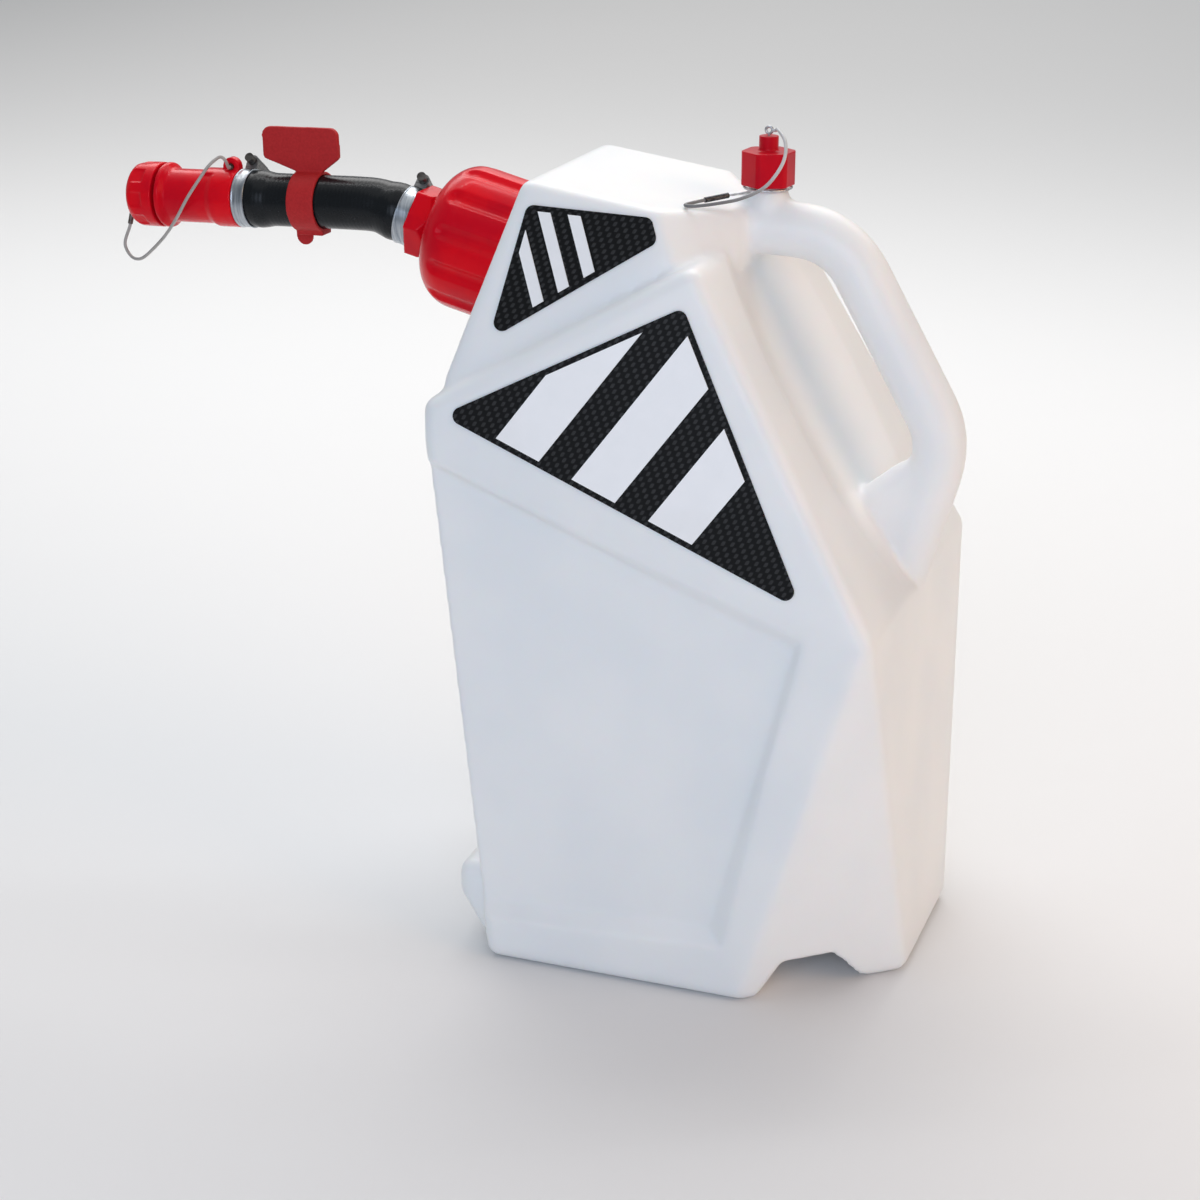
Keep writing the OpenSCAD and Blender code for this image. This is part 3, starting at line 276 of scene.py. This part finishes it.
class Finish:
    """One material: a Principled shader whose sockets take numbers or signals."""

    def __init__(self, name, **sockets):
        self.material = bpy.data.materials.new(name)
        self.material.use_nodes = True
        self.tree = self.material.node_tree
        self.shader = self.tree.nodes["Principled BSDF"]
        self.place = self.node("ShaderNodeTexCoord", out="Object")
        self.set(**sockets)

    def node(self, kind, settings=None, sockets=None, out=0):
        made = self.tree.nodes.new(kind)
        for key, value in (settings or {}).items():
            setattr(made, key, value)
        for key, value in (sockets or {}).items():
            self.feed(self.find(made.inputs, key), value)
        return Signal(self, self.find(made.outputs, out))

    def find(self, sockets, key):
        if isinstance(key, int):
            return sockets[key]
        named = [s for s in sockets if key in (s.identifier, s.name)]
        return next((s for s in named if s.enabled), named[0])

    def feed(self, socket, value):
        if isinstance(value, Signal):
            self.tree.links.new(value.socket, socket)
        else:
            socket.default_value = value

    def set(self, **sockets):
        for key, value in sockets.items():
            title = key.replace("_", " ")
            self.feed(next(s for s in self.shader.inputs if s.name.lower() == title), value)

    def noise(self, scale, detail=3.0, place=None):
        sockets = {"Vector": place or self.place, "Scale": scale, "Detail": detail}
        return self.node("ShaderNodeTexNoise", {}, sockets, out="Fac")

    def colours(self, share, first, second):
        sockets = {"Factor_Float": share, "A_Color": (*first, 1), "B_Color": (*second, 1)}
        return self.node("ShaderNodeMix", {"data_type": "RGBA"}, sockets, out="Result_Color")

    def bump(self, height, depth_m, strength):
        sockets = {"Height": height, "Distance": depth_m, "Strength": strength}
        self.set(normal=self.node("ShaderNodeBump", {}, sockets, out="Normal"))


# %% [markdown]
# ## The finishes
#
# The tank is blow-moulded polyethylene: milky, a little waxy, never quite even. The fittings are
# moulded in a strong glossy red. The hose is smooth black rubber with faint rings from the
# mandrel that it was cured on. Steel shows fine brushing along its length, and the wires have a
# pale plastic coat. Each finish has its own grain at its real scale, in metres.

# %% Finishes of the tank and the fittings
CLOUDS, WAX, PEBBLES, TANK_GRAIN = 14, 60, 45, 900
tank_plastic = Finish("tank_plastic", subsurface_weight=0.1, subsurface_scale=0.006,
                      specular_ior_level=0.4)
cloud = tank_plastic.noise(CLOUDS, 2).between(0.3, 0.7)
milk = tank_plastic.colours(cloud, (0.82, 0.835, 0.85), (0.87, 0.87, 0.87))
tank_plastic.set(base_color=milk, roughness=0.34 + 0.1 * tank_plastic.noise(WAX))
tank_relief = tank_plastic.noise(PEBBLES, 2) + 0.15 * tank_plastic.noise(TANK_GRAIN, 2)
tank_plastic.bump(tank_relief, 0.25 * MM, 0.5)

FLOW_MARKS, WEAR, ORANGE_PEEL, FINE_GRAIN = 38, 110, 160, 1800


def moulded(name, colour, deep, rough, tint=(1.0, 1.0, 1.0)):
    """Glossy moulded plastic: faint flow marks, a fine grain and slight wear."""
    finish = Finish(name, coat_weight=0.06, coat_roughness=0.06, specular_ior_level=0.25,
                    specular_tint=(*tint, 1))
    flow = finish.noise(FLOW_MARKS, 4)
    finish.set(base_color=finish.colours(flow.between(0.35, 0.65), deep, colour),
               roughness=rough + 0.12 * finish.noise(WEAR, 4))
    relief = finish.noise(ORANGE_PEEL, 2) + 0.2 * finish.noise(FINE_GRAIN, 2)
    finish.bump(relief, 0.08 * MM, 0.6)
    return finish


RED_TINT = (1.0, 0.22, 0.26)
red_plastic = moulded("red_plastic", (0.74, 0.004, 0.012), (0.60, 0.003, 0.014), 0.16, RED_TINT)
vent_red = moulded("vent_red", (0.55, 0.004, 0.014), (0.42, 0.003, 0.016), 0.28, RED_TINT)
washer_plastic = moulded("washer_plastic", (0.8, 0.8, 0.78), (0.74, 0.74, 0.72), 0.4)
seal_rubber = moulded("seal_rubber", (0.05, 0.05, 0.05), (0.03, 0.03, 0.03), 0.6)

MOTTLE, SCUFFS = 900, 260
tag_rubber = Finish("tag_rubber", specular_ior_level=0.25)
mottle = tag_rubber.noise(MOTTLE, 4).between(0.2, 0.8)
tag_rubber.set(base_color=tag_rubber.colours(mottle, (0.40, 0.012, 0.014), (0.49, 0.018, 0.020)),
               roughness=0.5 + 0.2 * tag_rubber.noise(SCUFFS))
tag_rubber.bump(tag_rubber.noise(MOTTLE, 3), 0.1 * MM, 0.4)

# %% [markdown]
# ## The woven film of the panels
#
# The dark panels are printed to look like a coarse weave: level rows of small lozenges, each row
# shifted by half a cell. A wave along the rows times a wave across them is high in just those
# places, and a lean in the first wave slants the cells. The rows have to lie in the panel, so
# their direction is the level direction, laid flat on it.

# %% Woven film and white film
CELL_LONG = 4.7 * MM
ROW_STEP = 2.8 * MM
CELL_LEAN = 0.45
CELL_EDGE = 0.55
FILM_GRAIN = 900
GAP_BLACK = (0.003, 0.003, 0.003)
CELL_GREY = (0.034, 0.034, 0.035)


def woven(name, along, up):
    """Black film with rows of lozenges, set along two directions in the panel."""
    finish = Finish(name, coat_weight=0.03, coat_roughness=0.3, specular_ior_level=0.12)
    u, v = (finish.node("ShaderNodeVectorMath", {"operation": "DOT_PRODUCT"},
                        {0: finish.place, 1: tuple(direction)}, out="Value")
            for direction in (along, up))
    lean = (u + v * CELL_LEAN) * (2 * math.pi / CELL_LONG)
    cell = (lean.sine() * (v * (math.pi / ROW_STEP)).sine()).between(0.0, CELL_EDGE)
    grain = finish.noise(FILM_GRAIN, 3)
    share = cell * (0.5 + 0.5 * grain)
    finish.set(base_color=finish.colours(share, GAP_BLACK, CELL_GREY), roughness=0.5 - 0.16 * cell)
    finish.bump(cell, 0.12 * MM, 0.6)
    return finish


bar_film = Finish("bar_film", coat_weight=0.2)
bar_film.set(base_color=bar_film.colours(bar_film.noise(90), (0.84, 0.85, 0.86), (0.9, 0.9, 0.91)),
             roughness=0.3 + 0.1 * bar_film.noise(300))
bar_film.bump(bar_film.noise(500, 2), 0.05 * MM, 0.4)


# %% [markdown]
# ## Rubber, wire coat and steel
#
# The hose shines in long soft highlights that the faint rings break up. The rings are a ripple
# along the hose, so the finish reads the place along it. Steel is brushed: its grain is a noise
# that is squeezed hard in one direction.

# %% Finishes of the hose, the wires and the steel
RING_PITCH = 2.4 * MM
BLOOM, SMEARS, HOSE_GRAIN = 60, 220, 300
hose_rubber = Finish("hose_rubber", specular_ior_level=0.22)
reach = hose_rubber.node("ShaderNodeSeparateXYZ", {}, {0: hose_rubber.place}, out="X")
ripple = (reach * (2 * math.pi / RING_PITCH)).sine()
bloom = hose_rubber.noise(BLOOM)
hose_black = hose_rubber.colours(bloom, (0.003, 0.004, 0.005), (0.008, 0.010, 0.012))
hose_rubber.set(base_color=hose_black, roughness=0.2 + 0.12 * hose_rubber.noise(SMEARS, 4))
hose_rubber.bump(ripple * 0.5 + 0.8 * hose_rubber.noise(HOSE_GRAIN, 3), 0.08 * MM, 0.4)

SCRAPES, WIRE_GRAIN = 500, 1500
wire_coat = Finish("wire_coat", coat_weight=0.3, coat_roughness=0.15)
coat_grey = wire_coat.colours(wire_coat.noise(240), (0.26, 0.24, 0.22), (0.46, 0.44, 0.42))
wire_coat.set(base_color=coat_grey, roughness=0.32 + 0.15 * wire_coat.noise(SCRAPES))
wire_coat.bump(wire_coat.noise(WIRE_GRAIN, 2), 0.08 * MM, 0.5)

# The coat is painted darker where the wire runs low by the deck, under the cap. This is painted shade, with
# a little random tone mixed in.
SHADED_BELOW_Z, LIT_ABOVE_Z = 0.405, 0.425
vent_wire_coat = Finish("vent_wire_coat", coat_weight=0.3, coat_roughness=0.15)
wire_z = vent_wire_coat.node("ShaderNodeSeparateXYZ", {}, {0: vent_wire_coat.place}, out="Z")
lit_share = wire_z.between(SHADED_BELOW_Z, LIT_ABOVE_Z) * (0.75 + 0.25 * vent_wire_coat.noise(300))
vent_grey = vent_wire_coat.colours(lit_share, (0.13, 0.13, 0.135), (0.60, 0.60, 0.60))
vent_wire_coat.set(base_color=vent_grey, roughness=0.3 + 0.15 * vent_wire_coat.noise(SCRAPES))
vent_wire_coat.bump(vent_wire_coat.noise(WIRE_GRAIN, 2), 0.08 * MM, 0.5)


def steel(name, dark, light, rough, stretch=(60, 900, 900)):
    finish = Finish(name, metallic=1.0)
    squeezed = finish.node("ShaderNodeMapping", {}, {"Vector": finish.place, "Scale": stretch})
    brushing = finish.noise(1.0, 4, squeezed)
    finish.set(base_color=finish.colours(brushing.between(0.3, 0.7), dark, light),
               roughness=rough + 0.2 * brushing)
    finish.bump(brushing, 0.03 * MM, 0.4)
    return finish


band_steel = steel("band_steel", (0.30, 0.33, 0.37), (0.52, 0.55, 0.58), 0.2, (900, 60, 60))
housing_steel = steel("housing_steel", (0.16, 0.16, 0.16), (0.32, 0.31, 0.30), 0.32)
screw_steel = steel("screw_steel", (0.06, 0.055, 0.05), (0.16, 0.15, 0.14), 0.35)
strand_steel = steel("strand_steel", (0.34, 0.34, 0.35), (0.66, 0.66, 0.67), 0.25)
ferrule_metal = steel("ferrule_metal", (0.09, 0.07, 0.065), (0.20, 0.16, 0.14), 0.4)
sleeve_metal = steel("sleeve_metal", (0.04, 0.04, 0.045), (0.11, 0.11, 0.12), 0.35)
print(len(bpy.data.materials), "finishes made so far")

# %% [markdown]
# ## Giving the frame's pieces their finish
#
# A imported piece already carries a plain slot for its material. Filling that slot is enough: the
# shape stays the frame's own. The panels need one finish each, because their weave follows
# their own edges.


# %% Dress the pieces that keep their CAD shape
def dress(piece, finish):
    piece.data.materials.clear()
    piece.data.materials.append(finish.material)


def node_points(node):
    """The corners of a CAD node's mesh, in the frame."""
    piece = frame["nodes"][node]
    return np.array([piece.matrix_world @ v.co for v in piece.data.vertices])


def panel_directions(node):
    """The level way along a flat panel, and the way up it."""
    points = node_points(node)
    facing = np.linalg.svd(points - points.mean(axis=0), full_matrices=False)[2][2]
    level = np.array((1.0, 0, 0)) - facing * facing[0]
    level /= np.linalg.norm(level)
    return level, np.cross(facing, level)


for size in ("large", "small"):
    for side in ("left", "right"):
        name = f"{size}_panel_{side}"
        dress(frame["nodes"][name], woven(f"woven_{size}_{side}", *panel_directions(name)))
        dress(frame["nodes"][f"{size}_bars_{side}"], bar_film)

kept = {
    "neck_gasket": seal_rubber, "end_cap_seal": seal_rubber, "vent_seal": seal_rubber,
    "slip_washer": washer_plastic,
    "inner_clamp_housing": housing_steel, "outer_clamp_housing": housing_steel,
    "inner_clamp_screw": screw_steel, "outer_clamp_screw": screw_steel,
    "end_cap_rivet": strand_steel, "end_cap_eye": strand_steel,
    "vent_swivel": strand_steel, "vent_ring": strand_steel,
    "end_cap_ferrule": ferrule_metal, "lug_ferrule": ferrule_metal, "vent_ferrule": sleeve_metal,
}
for node, finish in kept.items():
    dress(frame["nodes"][node], finish)
dress(nozzle_wire, wire_coat)
dress(vent_wire, vent_wire_coat)
print(len(kept), "small pieces dressed")

# %% [markdown]
# ## The tank
#
# A blow-moulded tank has no crisp corner anywhere: the plastic is stretched over the mould, and
# every inner corner fills in. The CAD solid has the true planes but sharp creases where its parts
# meet. Cutting its surface into small even squares and letting neighbours pull on each other
# rounds the creases and leaves flat faces flat. More rounds of that near the handle's roots, the
# folds below the deck and the arch in the base give the wide, soft hollows of the real one.


# %% Helpers that soften a CAD piece
PULL = 0.5
FADE = 1.6


def copy_of(node, name):
    source = frame["nodes"][node]
    mesh = source.data.copy()
    mesh.transform(source.matrix_world)
    mesh.materials.clear()
    piece = bpy.data.objects.new(name, mesh)
    bpy.context.scene.collection.objects.link(piece)
    return piece


def add_modifier(piece, kind, **settings):
    modifier = piece.modifiers.new(kind.lower(), kind)
    for key, value in settings.items():
        setattr(modifier, key, value)


def apply_modifiers(piece):
    bpy.context.view_layer.update()
    seen = piece.evaluated_get(bpy.context.evaluated_depsgraph_get())
    mesh = bpy.data.meshes.new_from_object(seen)
    piece.modifiers.clear()
    piece.data = mesh
    mesh.shade_smooth()


def softened(node, name, finish, square, rounds, keep, soft_spots=()):
    """A copy of a CAD node with rounded creases. It rides where the node rides."""
    piece = copy_of(node, name)
    add_modifier(piece, "REMESH", mode="VOXEL", voxel_size=square)
    apply_modifiers(piece)
    points = np.array([v.co for v in piece.data.vertices])
    for centre, radius, extra in soft_spots:
        distance = np.linalg.norm(points - np.array(centre) * MM, axis=1)
        group = piece.vertex_groups.new(name=f"soft_{len(piece.vertex_groups)}")
        weight = np.clip(FADE * (1 - distance / (radius * MM)), 0, 1)
        for i in np.flatnonzero(weight):
            group.add([int(i)], float(weight[i]), "REPLACE")
        add_modifier(piece, "SMOOTH", factor=PULL, iterations=extra, vertex_group=group.name)
    add_modifier(piece, "SMOOTH", factor=PULL, iterations=rounds)
    add_modifier(piece, "DECIMATE", ratio=keep)
    apply_modifiers(piece)
    piece.vertex_groups.clear()
    dress(piece, finish)
    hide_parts(node)
    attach(piece, body_of(frame["nodes"][node])[0])
    print(name, "has", len(piece.data.polygons), "faces")


# %% Soften the tank
TANK_SQUARE, TANK_ROUNDS, TANK_KEEP = 1.6 * MM, 10, 0.3
handle_top_root = ((44, 0, 384), 34, 60)
handle_low_root = ((146, 0, 262), 40, 60)
handle_web = ((112, 0, 244), 30, 40)
knee_folds = [((20, side * 62, 384), 26, 30) for side in (-1, 1)]
block_creases = [((x, side * y, z), 24, 24) for side in (-1, 1)
                 for x, y, z in [(-84, 96, 322), (-60, 92, 338), (-36, 86, 352), (-12, 80, 368)]]
arch_edges = [((118, side * 66, 9), 26, 16) for side in (-1, 1)]
tank_spots = [handle_top_root, handle_low_root, handle_web, *knee_folds, *block_creases,
              *arch_edges]
softened("jug_body", "tank", tank_plastic, TANK_SQUARE, TANK_ROUNDS, TANK_KEEP,
         tank_spots)

# %% Soften the moulded fittings
FITTING_KEEP = 0.4
for node, name, finish, slot, square, rounds in [
    ("hose_adapter", "adapter_red", red_plastic, "red_plastic", 0.6, 3),
    ("nozzle", "nozzle_red", red_plastic, "red_plastic", 0.55, 4),
    ("end_cap", "end_cap_red", red_plastic, "red_plastic", 0.5, 4),
    ("vent_cap", "vent_cap_red", vent_red, "red_plastic", 0.45, 3),
    ("hose_tag", "tag_red", tag_rubber, "tag_rubber", 0.5, 3),
]:
    softened(node, name, finish, square * MM, rounds, FITTING_KEEP)

# %% [markdown]
# ## The screw collar
#
# A collar that is turned by hand has finger flutes: hollows with round ends that start on the domed
# front and run out at the rear. Its section is a short list of points spun round the neck. Each
# point of the outside is then pushed in by the depth of the flute that is nearest to it, so the
# shoulders between the flutes stay crisp and catch the light.

# %% Make the screw collar
NECK_HEADING_DEG = 165.5
neck_seat = np.array((-86.2727, 0, 363)) * MM
COLLAR_R, COLLAR_REAR, COLLAR_FRONT = 39.25, 4.0, 56.5
DOME_R = 20.0
DOME_ROWS = 34
ROW_PITCH = 0.9
HOLE_R, BORE_R, ROOF = 22.5, 32.2, 47.5
EASE = 0.6
FLUTES = 12
FLUTE_HALF = 4.7
FLUTE_DEEP = 2.3
FLUTE_END = 37.0
SHOULDER = 9.0
COLLAR_SIDES = FLUTES * 36
THREAD_AT, THREAD_PITCH, THREAD_TURNS = 28.3, 6.0, 1.25
THREAD_R, THREAD_HALF, THREAD_STEPS, THREAD_SIDES = 32.0, 1.5, 90, 12
FADE_TURN, LEAST_FADE = 0.5, 0.15
NO_FLUTE = 1e3
dome_start = COLLAR_FRONT - DOME_R


def collar_section():
    """Rows of radius, station, outward way (two values) and travel from the rear edge."""
    rows = [(COLLAR_R - 0.8, COLLAR_REAR, 0, 0, 0), (COLLAR_R - 0.2, COLLAR_REAR + 0.2, 1, 0, 0.2)]
    rows += [(COLLAR_R, station, 1, 0, station - COLLAR_REAR)
             for station in np.arange(COLLAR_REAR + 0.8, dome_start, ROW_PITCH)]
    for turn in np.linspace(0, math.pi / 2, DOME_ROWS):
        out_r, out_s = math.cos(turn), math.sin(turn)
        rows.append((COLLAR_R - DOME_R + DOME_R * out_r, dome_start + DOME_R * out_s, out_r, out_s,
                     dome_start - COLLAR_REAR + DOME_R * turn))
    rows = [row for row in rows if row[0] > HOLE_R + 0.8]
    inside = [(HOLE_R + EASE, COLLAR_FRONT - 0.15), (HOLE_R, COLLAR_FRONT - 0.8), (HOLE_R, ROOF),
              (BORE_R, ROOF), (BORE_R, COLLAR_REAR + EASE), (BORE_R + EASE, COLLAR_REAR)]
    return np.array(rows + [(r, station, 0, 0, NO_FLUTE) for r, station in inside])


def flute_depth(turn, travel):
    """How far the nearest flute pushes the surface in, in millimetres."""
    share = (turn * FLUTES / (2 * math.pi)) % 1 - 0.5
    across = COLLAR_R * share * 2 * math.pi / FLUTES
    off = np.hypot(across, max(travel - FLUTE_END, 0)) / FLUTE_HALF
    return FLUTE_DEEP * np.log1p(np.exp(np.clip(SHOULDER * (1 - off ** 2), -60, 60))) / SHOULDER


turns = np.arange(COLLAR_SIDES) * 2 * math.pi / COLLAR_SIDES
neck_axis, ways = axis_and_ways(NECK_HEADING_DEG, turns)
collar_rings = []
for radius, station, out_r, out_s, travel in collar_section():
    depth = flute_depth(turns, travel)[:, None] if travel < NO_FLUTE else 0
    radius, station = radius - depth * out_r, station - depth * out_s
    collar_rings.append(neck_seat + (station * neck_axis + radius * ways) * MM)
collar_skin = skin(collar_rings, closed_loop=True)

thread_turn = np.linspace(0, THREAD_TURNS * 2 * math.pi, THREAD_STEPS)
thread_climb = THREAD_AT + THREAD_PITCH * thread_turn / (2 * math.pi)
thread_ways = axis_and_ways(NECK_HEADING_DEG, thread_turn)[1]
thread_line = neck_seat + MM * (np.outer(thread_climb, neck_axis) + THREAD_R * thread_ways)
thread_fade = np.minimum(thread_turn, thread_turn[-1] - thread_turn) / FADE_TURN
thread_radii = THREAD_HALF * MM * np.clip(thread_fade, LEAST_FADE, 1)
thread_skin = skin(tube_rings(thread_line, thread_radii, THREAD_SIDES))


def joined(*skins):
    """Several skins as the points and faces of one mesh."""
    vertices, faces, count = [], [], 0
    for points, its_faces in skins:
        vertices.append(points)
        faces += [tuple(i + count for i in face) for face in its_faces]
        count += len(points)
    return np.concatenate(vertices), faces


collar = new_piece("screw_collar_red", *joined(collar_skin, thread_skin))
dress(collar, red_plastic)
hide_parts("collar")
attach(collar, "screw_collar")
print("screw collar:", len(collar.data.polygons), "faces,", FLUTES, "flutes")

# %% [markdown]
# ## The hose
#
# The rubber is stretched over a barbed stub at each end and pinched by a steel band, so it swells
# on both sides of the band before it falls back to its free width. It is one tube: an outer
# skin and a bore, joined at both ends. It bends between the collar's side and the nozzle's side.

# %% Make the hose
HOSE_SIDES = 64
HOSE_STEP = 1.1 * MM
CURVE_STEPS = 40
HOSE_R = 14.5 * MM
CUFF_R = 15.25 * MM
CUFF_LONG, CUFF_EASE = 18.5 * MM, 1.0 * MM
WALL = 3.5 * MM
BULGE, BULGE_AT, BULGE_HALF = 0.55 * MM, 12.4 * MM, 3.4 * MM
LIP_LONG, LIP_DEEP = 0.8 * MM, 0.5 * MM
hose_seat = Vector((-153.559, 0, 380.401)) * MM
bend_seat = Vector((-172.922, 0, 385.409)) * MM
last_seat = Vector((-183.155, 0, 386.575)) * MM
nozzle_seat = Vector((-259.628, 0, 384.572)) * MM
rough_line = through_points([
    hose_seat, hose_seat.lerp(bend_seat, 0.5), hose_seat.lerp(bend_seat, 0.85),
    (bend_seat + last_seat) / 2 + Vector((0, 0, 0.25 * MM)),
    last_seat.lerp(nozzle_seat, 0.08), last_seat.lerp(nozzle_seat, 0.4),
    last_seat.lerp(nozzle_seat, 0.8), nozzle_seat], CURVE_STEPS)
travel = np.concatenate([[0], np.cumsum(np.linalg.norm(np.diff(rough_line, axis=0), axis=1))])
hose_length = travel[-1]
stations = np.linspace(0, hose_length, int(hose_length / HOSE_STEP))
hose_line = np.stack([np.interp(stations, travel, axis) for axis in rough_line.T], axis=1)


def swell(distance):
    """The outer radius at a distance from the nearer end of the hose."""
    cuff = 1 / (1 + np.exp((distance - CUFF_LONG) / CUFF_EASE))
    bulge = np.exp(-((distance - BULGE_AT) / BULGE_HALF) ** 2)
    lip = np.clip(1 - distance / LIP_LONG, 0, 1) ** 2
    return HOSE_R + (CUFF_R - HOSE_R) * cuff + BULGE * bulge - LIP_DEEP * lip


nearer = np.minimum(stations, hose_length - stations)
outer = swell(nearer)
bore = outer - WALL
rings_out = tube_rings(hose_line, outer, HOSE_SIDES)
rings_in = tube_rings(hose_line, bore, HOSE_SIDES)
hose_vertices, hose_faces = skin(rings_out + rings_in[::-1], closed_loop=True)
hose = new_piece("hose_black", hose_vertices, hose_faces)
dress(hose, hose_rubber)
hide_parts("hose")
bend_start, bend_end = Vector((-174, 0, 385.5)) * MM, Vector((-208, 0, 386)) * MM
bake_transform(hose, "spout", "nozzle_end", start=bend_start, end=bend_end)
print("hose:", round(float(hose_length), 4), "m long,", len(hose_faces), "faces")

# %% [markdown]
# ## The clamp bands
#
# A worm-drive band is a strip of spring steel with rolled edges. Its section is drawn once, with
# the two edges turned up a little, and spun round the hose.


# %% Make the clamp bands
def spun(name, seat, heading_deg, section, sides):
    """A closed section, as (radius, station) pairs, spun about an axis in the side plane."""
    axis, ways = axis_and_ways(heading_deg, np.arange(sides) * 2 * math.pi / sides)
    rings = [np.array(seat) + station * axis + radius * ways for radius, station in section]
    return new_piece(name, *skin(rings, closed_loop=True))


BAND_W = 7.5
BAND_IN = 15.3
BAND_OUT = 16.15
BAND_SIDES = 128
EDGE = 0.5
ROLL = 0.4
BREAK = 0.15
DIP = 0.2
SHARP_FROM = math.radians(25)
NOZZLE_HEADING_DEG = 181.5
half_section = [(BAND_IN, DIP), (BAND_IN + DIP, 0), (BAND_OUT - BREAK, 0), (BAND_OUT, BREAK),
                (BAND_OUT, EDGE), (BAND_OUT - DIP, EDGE + ROLL)]
band_section = half_section + [(r, BAND_W - station) for r, station in reversed(half_section)]
for name, seat, heading, start, node, body in [
    ("inner_band_steel", hose_seat, NECK_HEADING_DEG, 0.4, "inner_clamp_band", "spout"),
    ("outer_band_steel", nozzle_seat, NOZZLE_HEADING_DEG, -7.9, "outer_clamp_band", "nozzle_end"),
]:
    section = [(r * MM, (station + start) * MM) for r, station in band_section]
    band = spun(name, seat, heading, section, BAND_SIDES)
    band.data.set_sharp_from_angle(angle=SHARP_FROM)
    dress(band, band_steel)
    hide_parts(node)
    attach(band, body)
    print(name, "made")

# %% [markdown]
# ## Floor and light
#
# The photograph has a plain pale ground that is brightest behind the jug, and light so soft that
# the shadow is only a faint pool. Wide area lights and a bright even sky give that.

# %% Floor and light
FLOOR_HALF = 6.0
FLOOR_Z = -0.0002
corners = [(-1, -1), (1, -1), (1, 1), (-1, 1)]
floor_corners = [(x * FLOOR_HALF, y * FLOOR_HALF, FLOOR_Z) for x, y in corners]
floor_mesh = bpy.data.meshes.new("floor")
floor_mesh.from_pydata(floor_corners, [], [(0, 1, 2, 3)])
floor = bpy.data.objects.new("floor", floor_mesh)
bpy.context.scene.collection.objects.link(floor)
floor_finish = Finish("floor_paint", roughness=0.9, specular_ior_level=0.1)
floor_grey = floor_finish.colours(floor_finish.noise(0.7), (0.76, 0.76, 0.76), (0.78, 0.78, 0.78))
floor_finish.set(base_color=floor_grey)
dress(floor, floor_finish)


def area_light(name, place, aim, size, power, colour):
    data = bpy.data.lights.new(name, "AREA")
    data.shape = "RECTANGLE"
    data.size, data.size_y = size
    data.energy = power
    data.color = colour
    light = bpy.data.objects.new(name, data)
    light.location = place
    light.rotation_mode = "QUATERNION"
    light.rotation_quaternion = (Vector(aim) - Vector(place)).to_track_quat("-Z", "Y")
    bpy.context.scene.collection.objects.link(light)


WHITE, OFF_WHITE = (1, 1, 1), (1.0, 0.97, 0.94)
DAYLIGHT, LAMPLIGHT = (0.70, 0.81, 1.0), (1.0, 0.64, 0.38)
SKY_BLUE, SKY_STRENGTH = (0.90, 0.95, 1.0, 1), 0.29
lights = [
    ("overhead", (-0.2, -0.1, 1.7), (0, 0, 0.2), (1.6, 1.6), 3.9, WHITE),
    ("front", (0.3, -2.0, 0.9), (0, 0, 0.2), (1.6, 1.2), 17, DAYLIGHT),
    ("right_side", (1.5, -0.3, 0.8), (0, 0, 0.2), (1.0, 1.2), 8.2, LAMPLIGHT),
    ("glint", (-0.3, 0.35, 1.5), (-0.15, 0, 0.35), (1.2, 0.07), 2.5, WHITE),
    ("ground_glow", (-0.4, 1.1, 1.4), (-0.4, 1.0, 0), (3.0, 0.8), 17, WHITE),
    ("far_ground", (-1.0, 3.6, 2.6), (-0.8, 3.6, 0), (6.0, 3.0), 64, OFF_WHITE),
]
for light in lights:
    area_light(*light)
world = bpy.data.worlds.new("sky")
world.use_nodes = True
world.node_tree.nodes["Background"].inputs["Color"].default_value = SKY_BLUE
world.node_tree.nodes["Background"].inputs["Strength"].default_value = SKY_STRENGTH
bpy.context.scene.world = world
bpy.context.scene.view_settings.view_transform = "Standard"
print("floor and", len(lights), "lights placed")
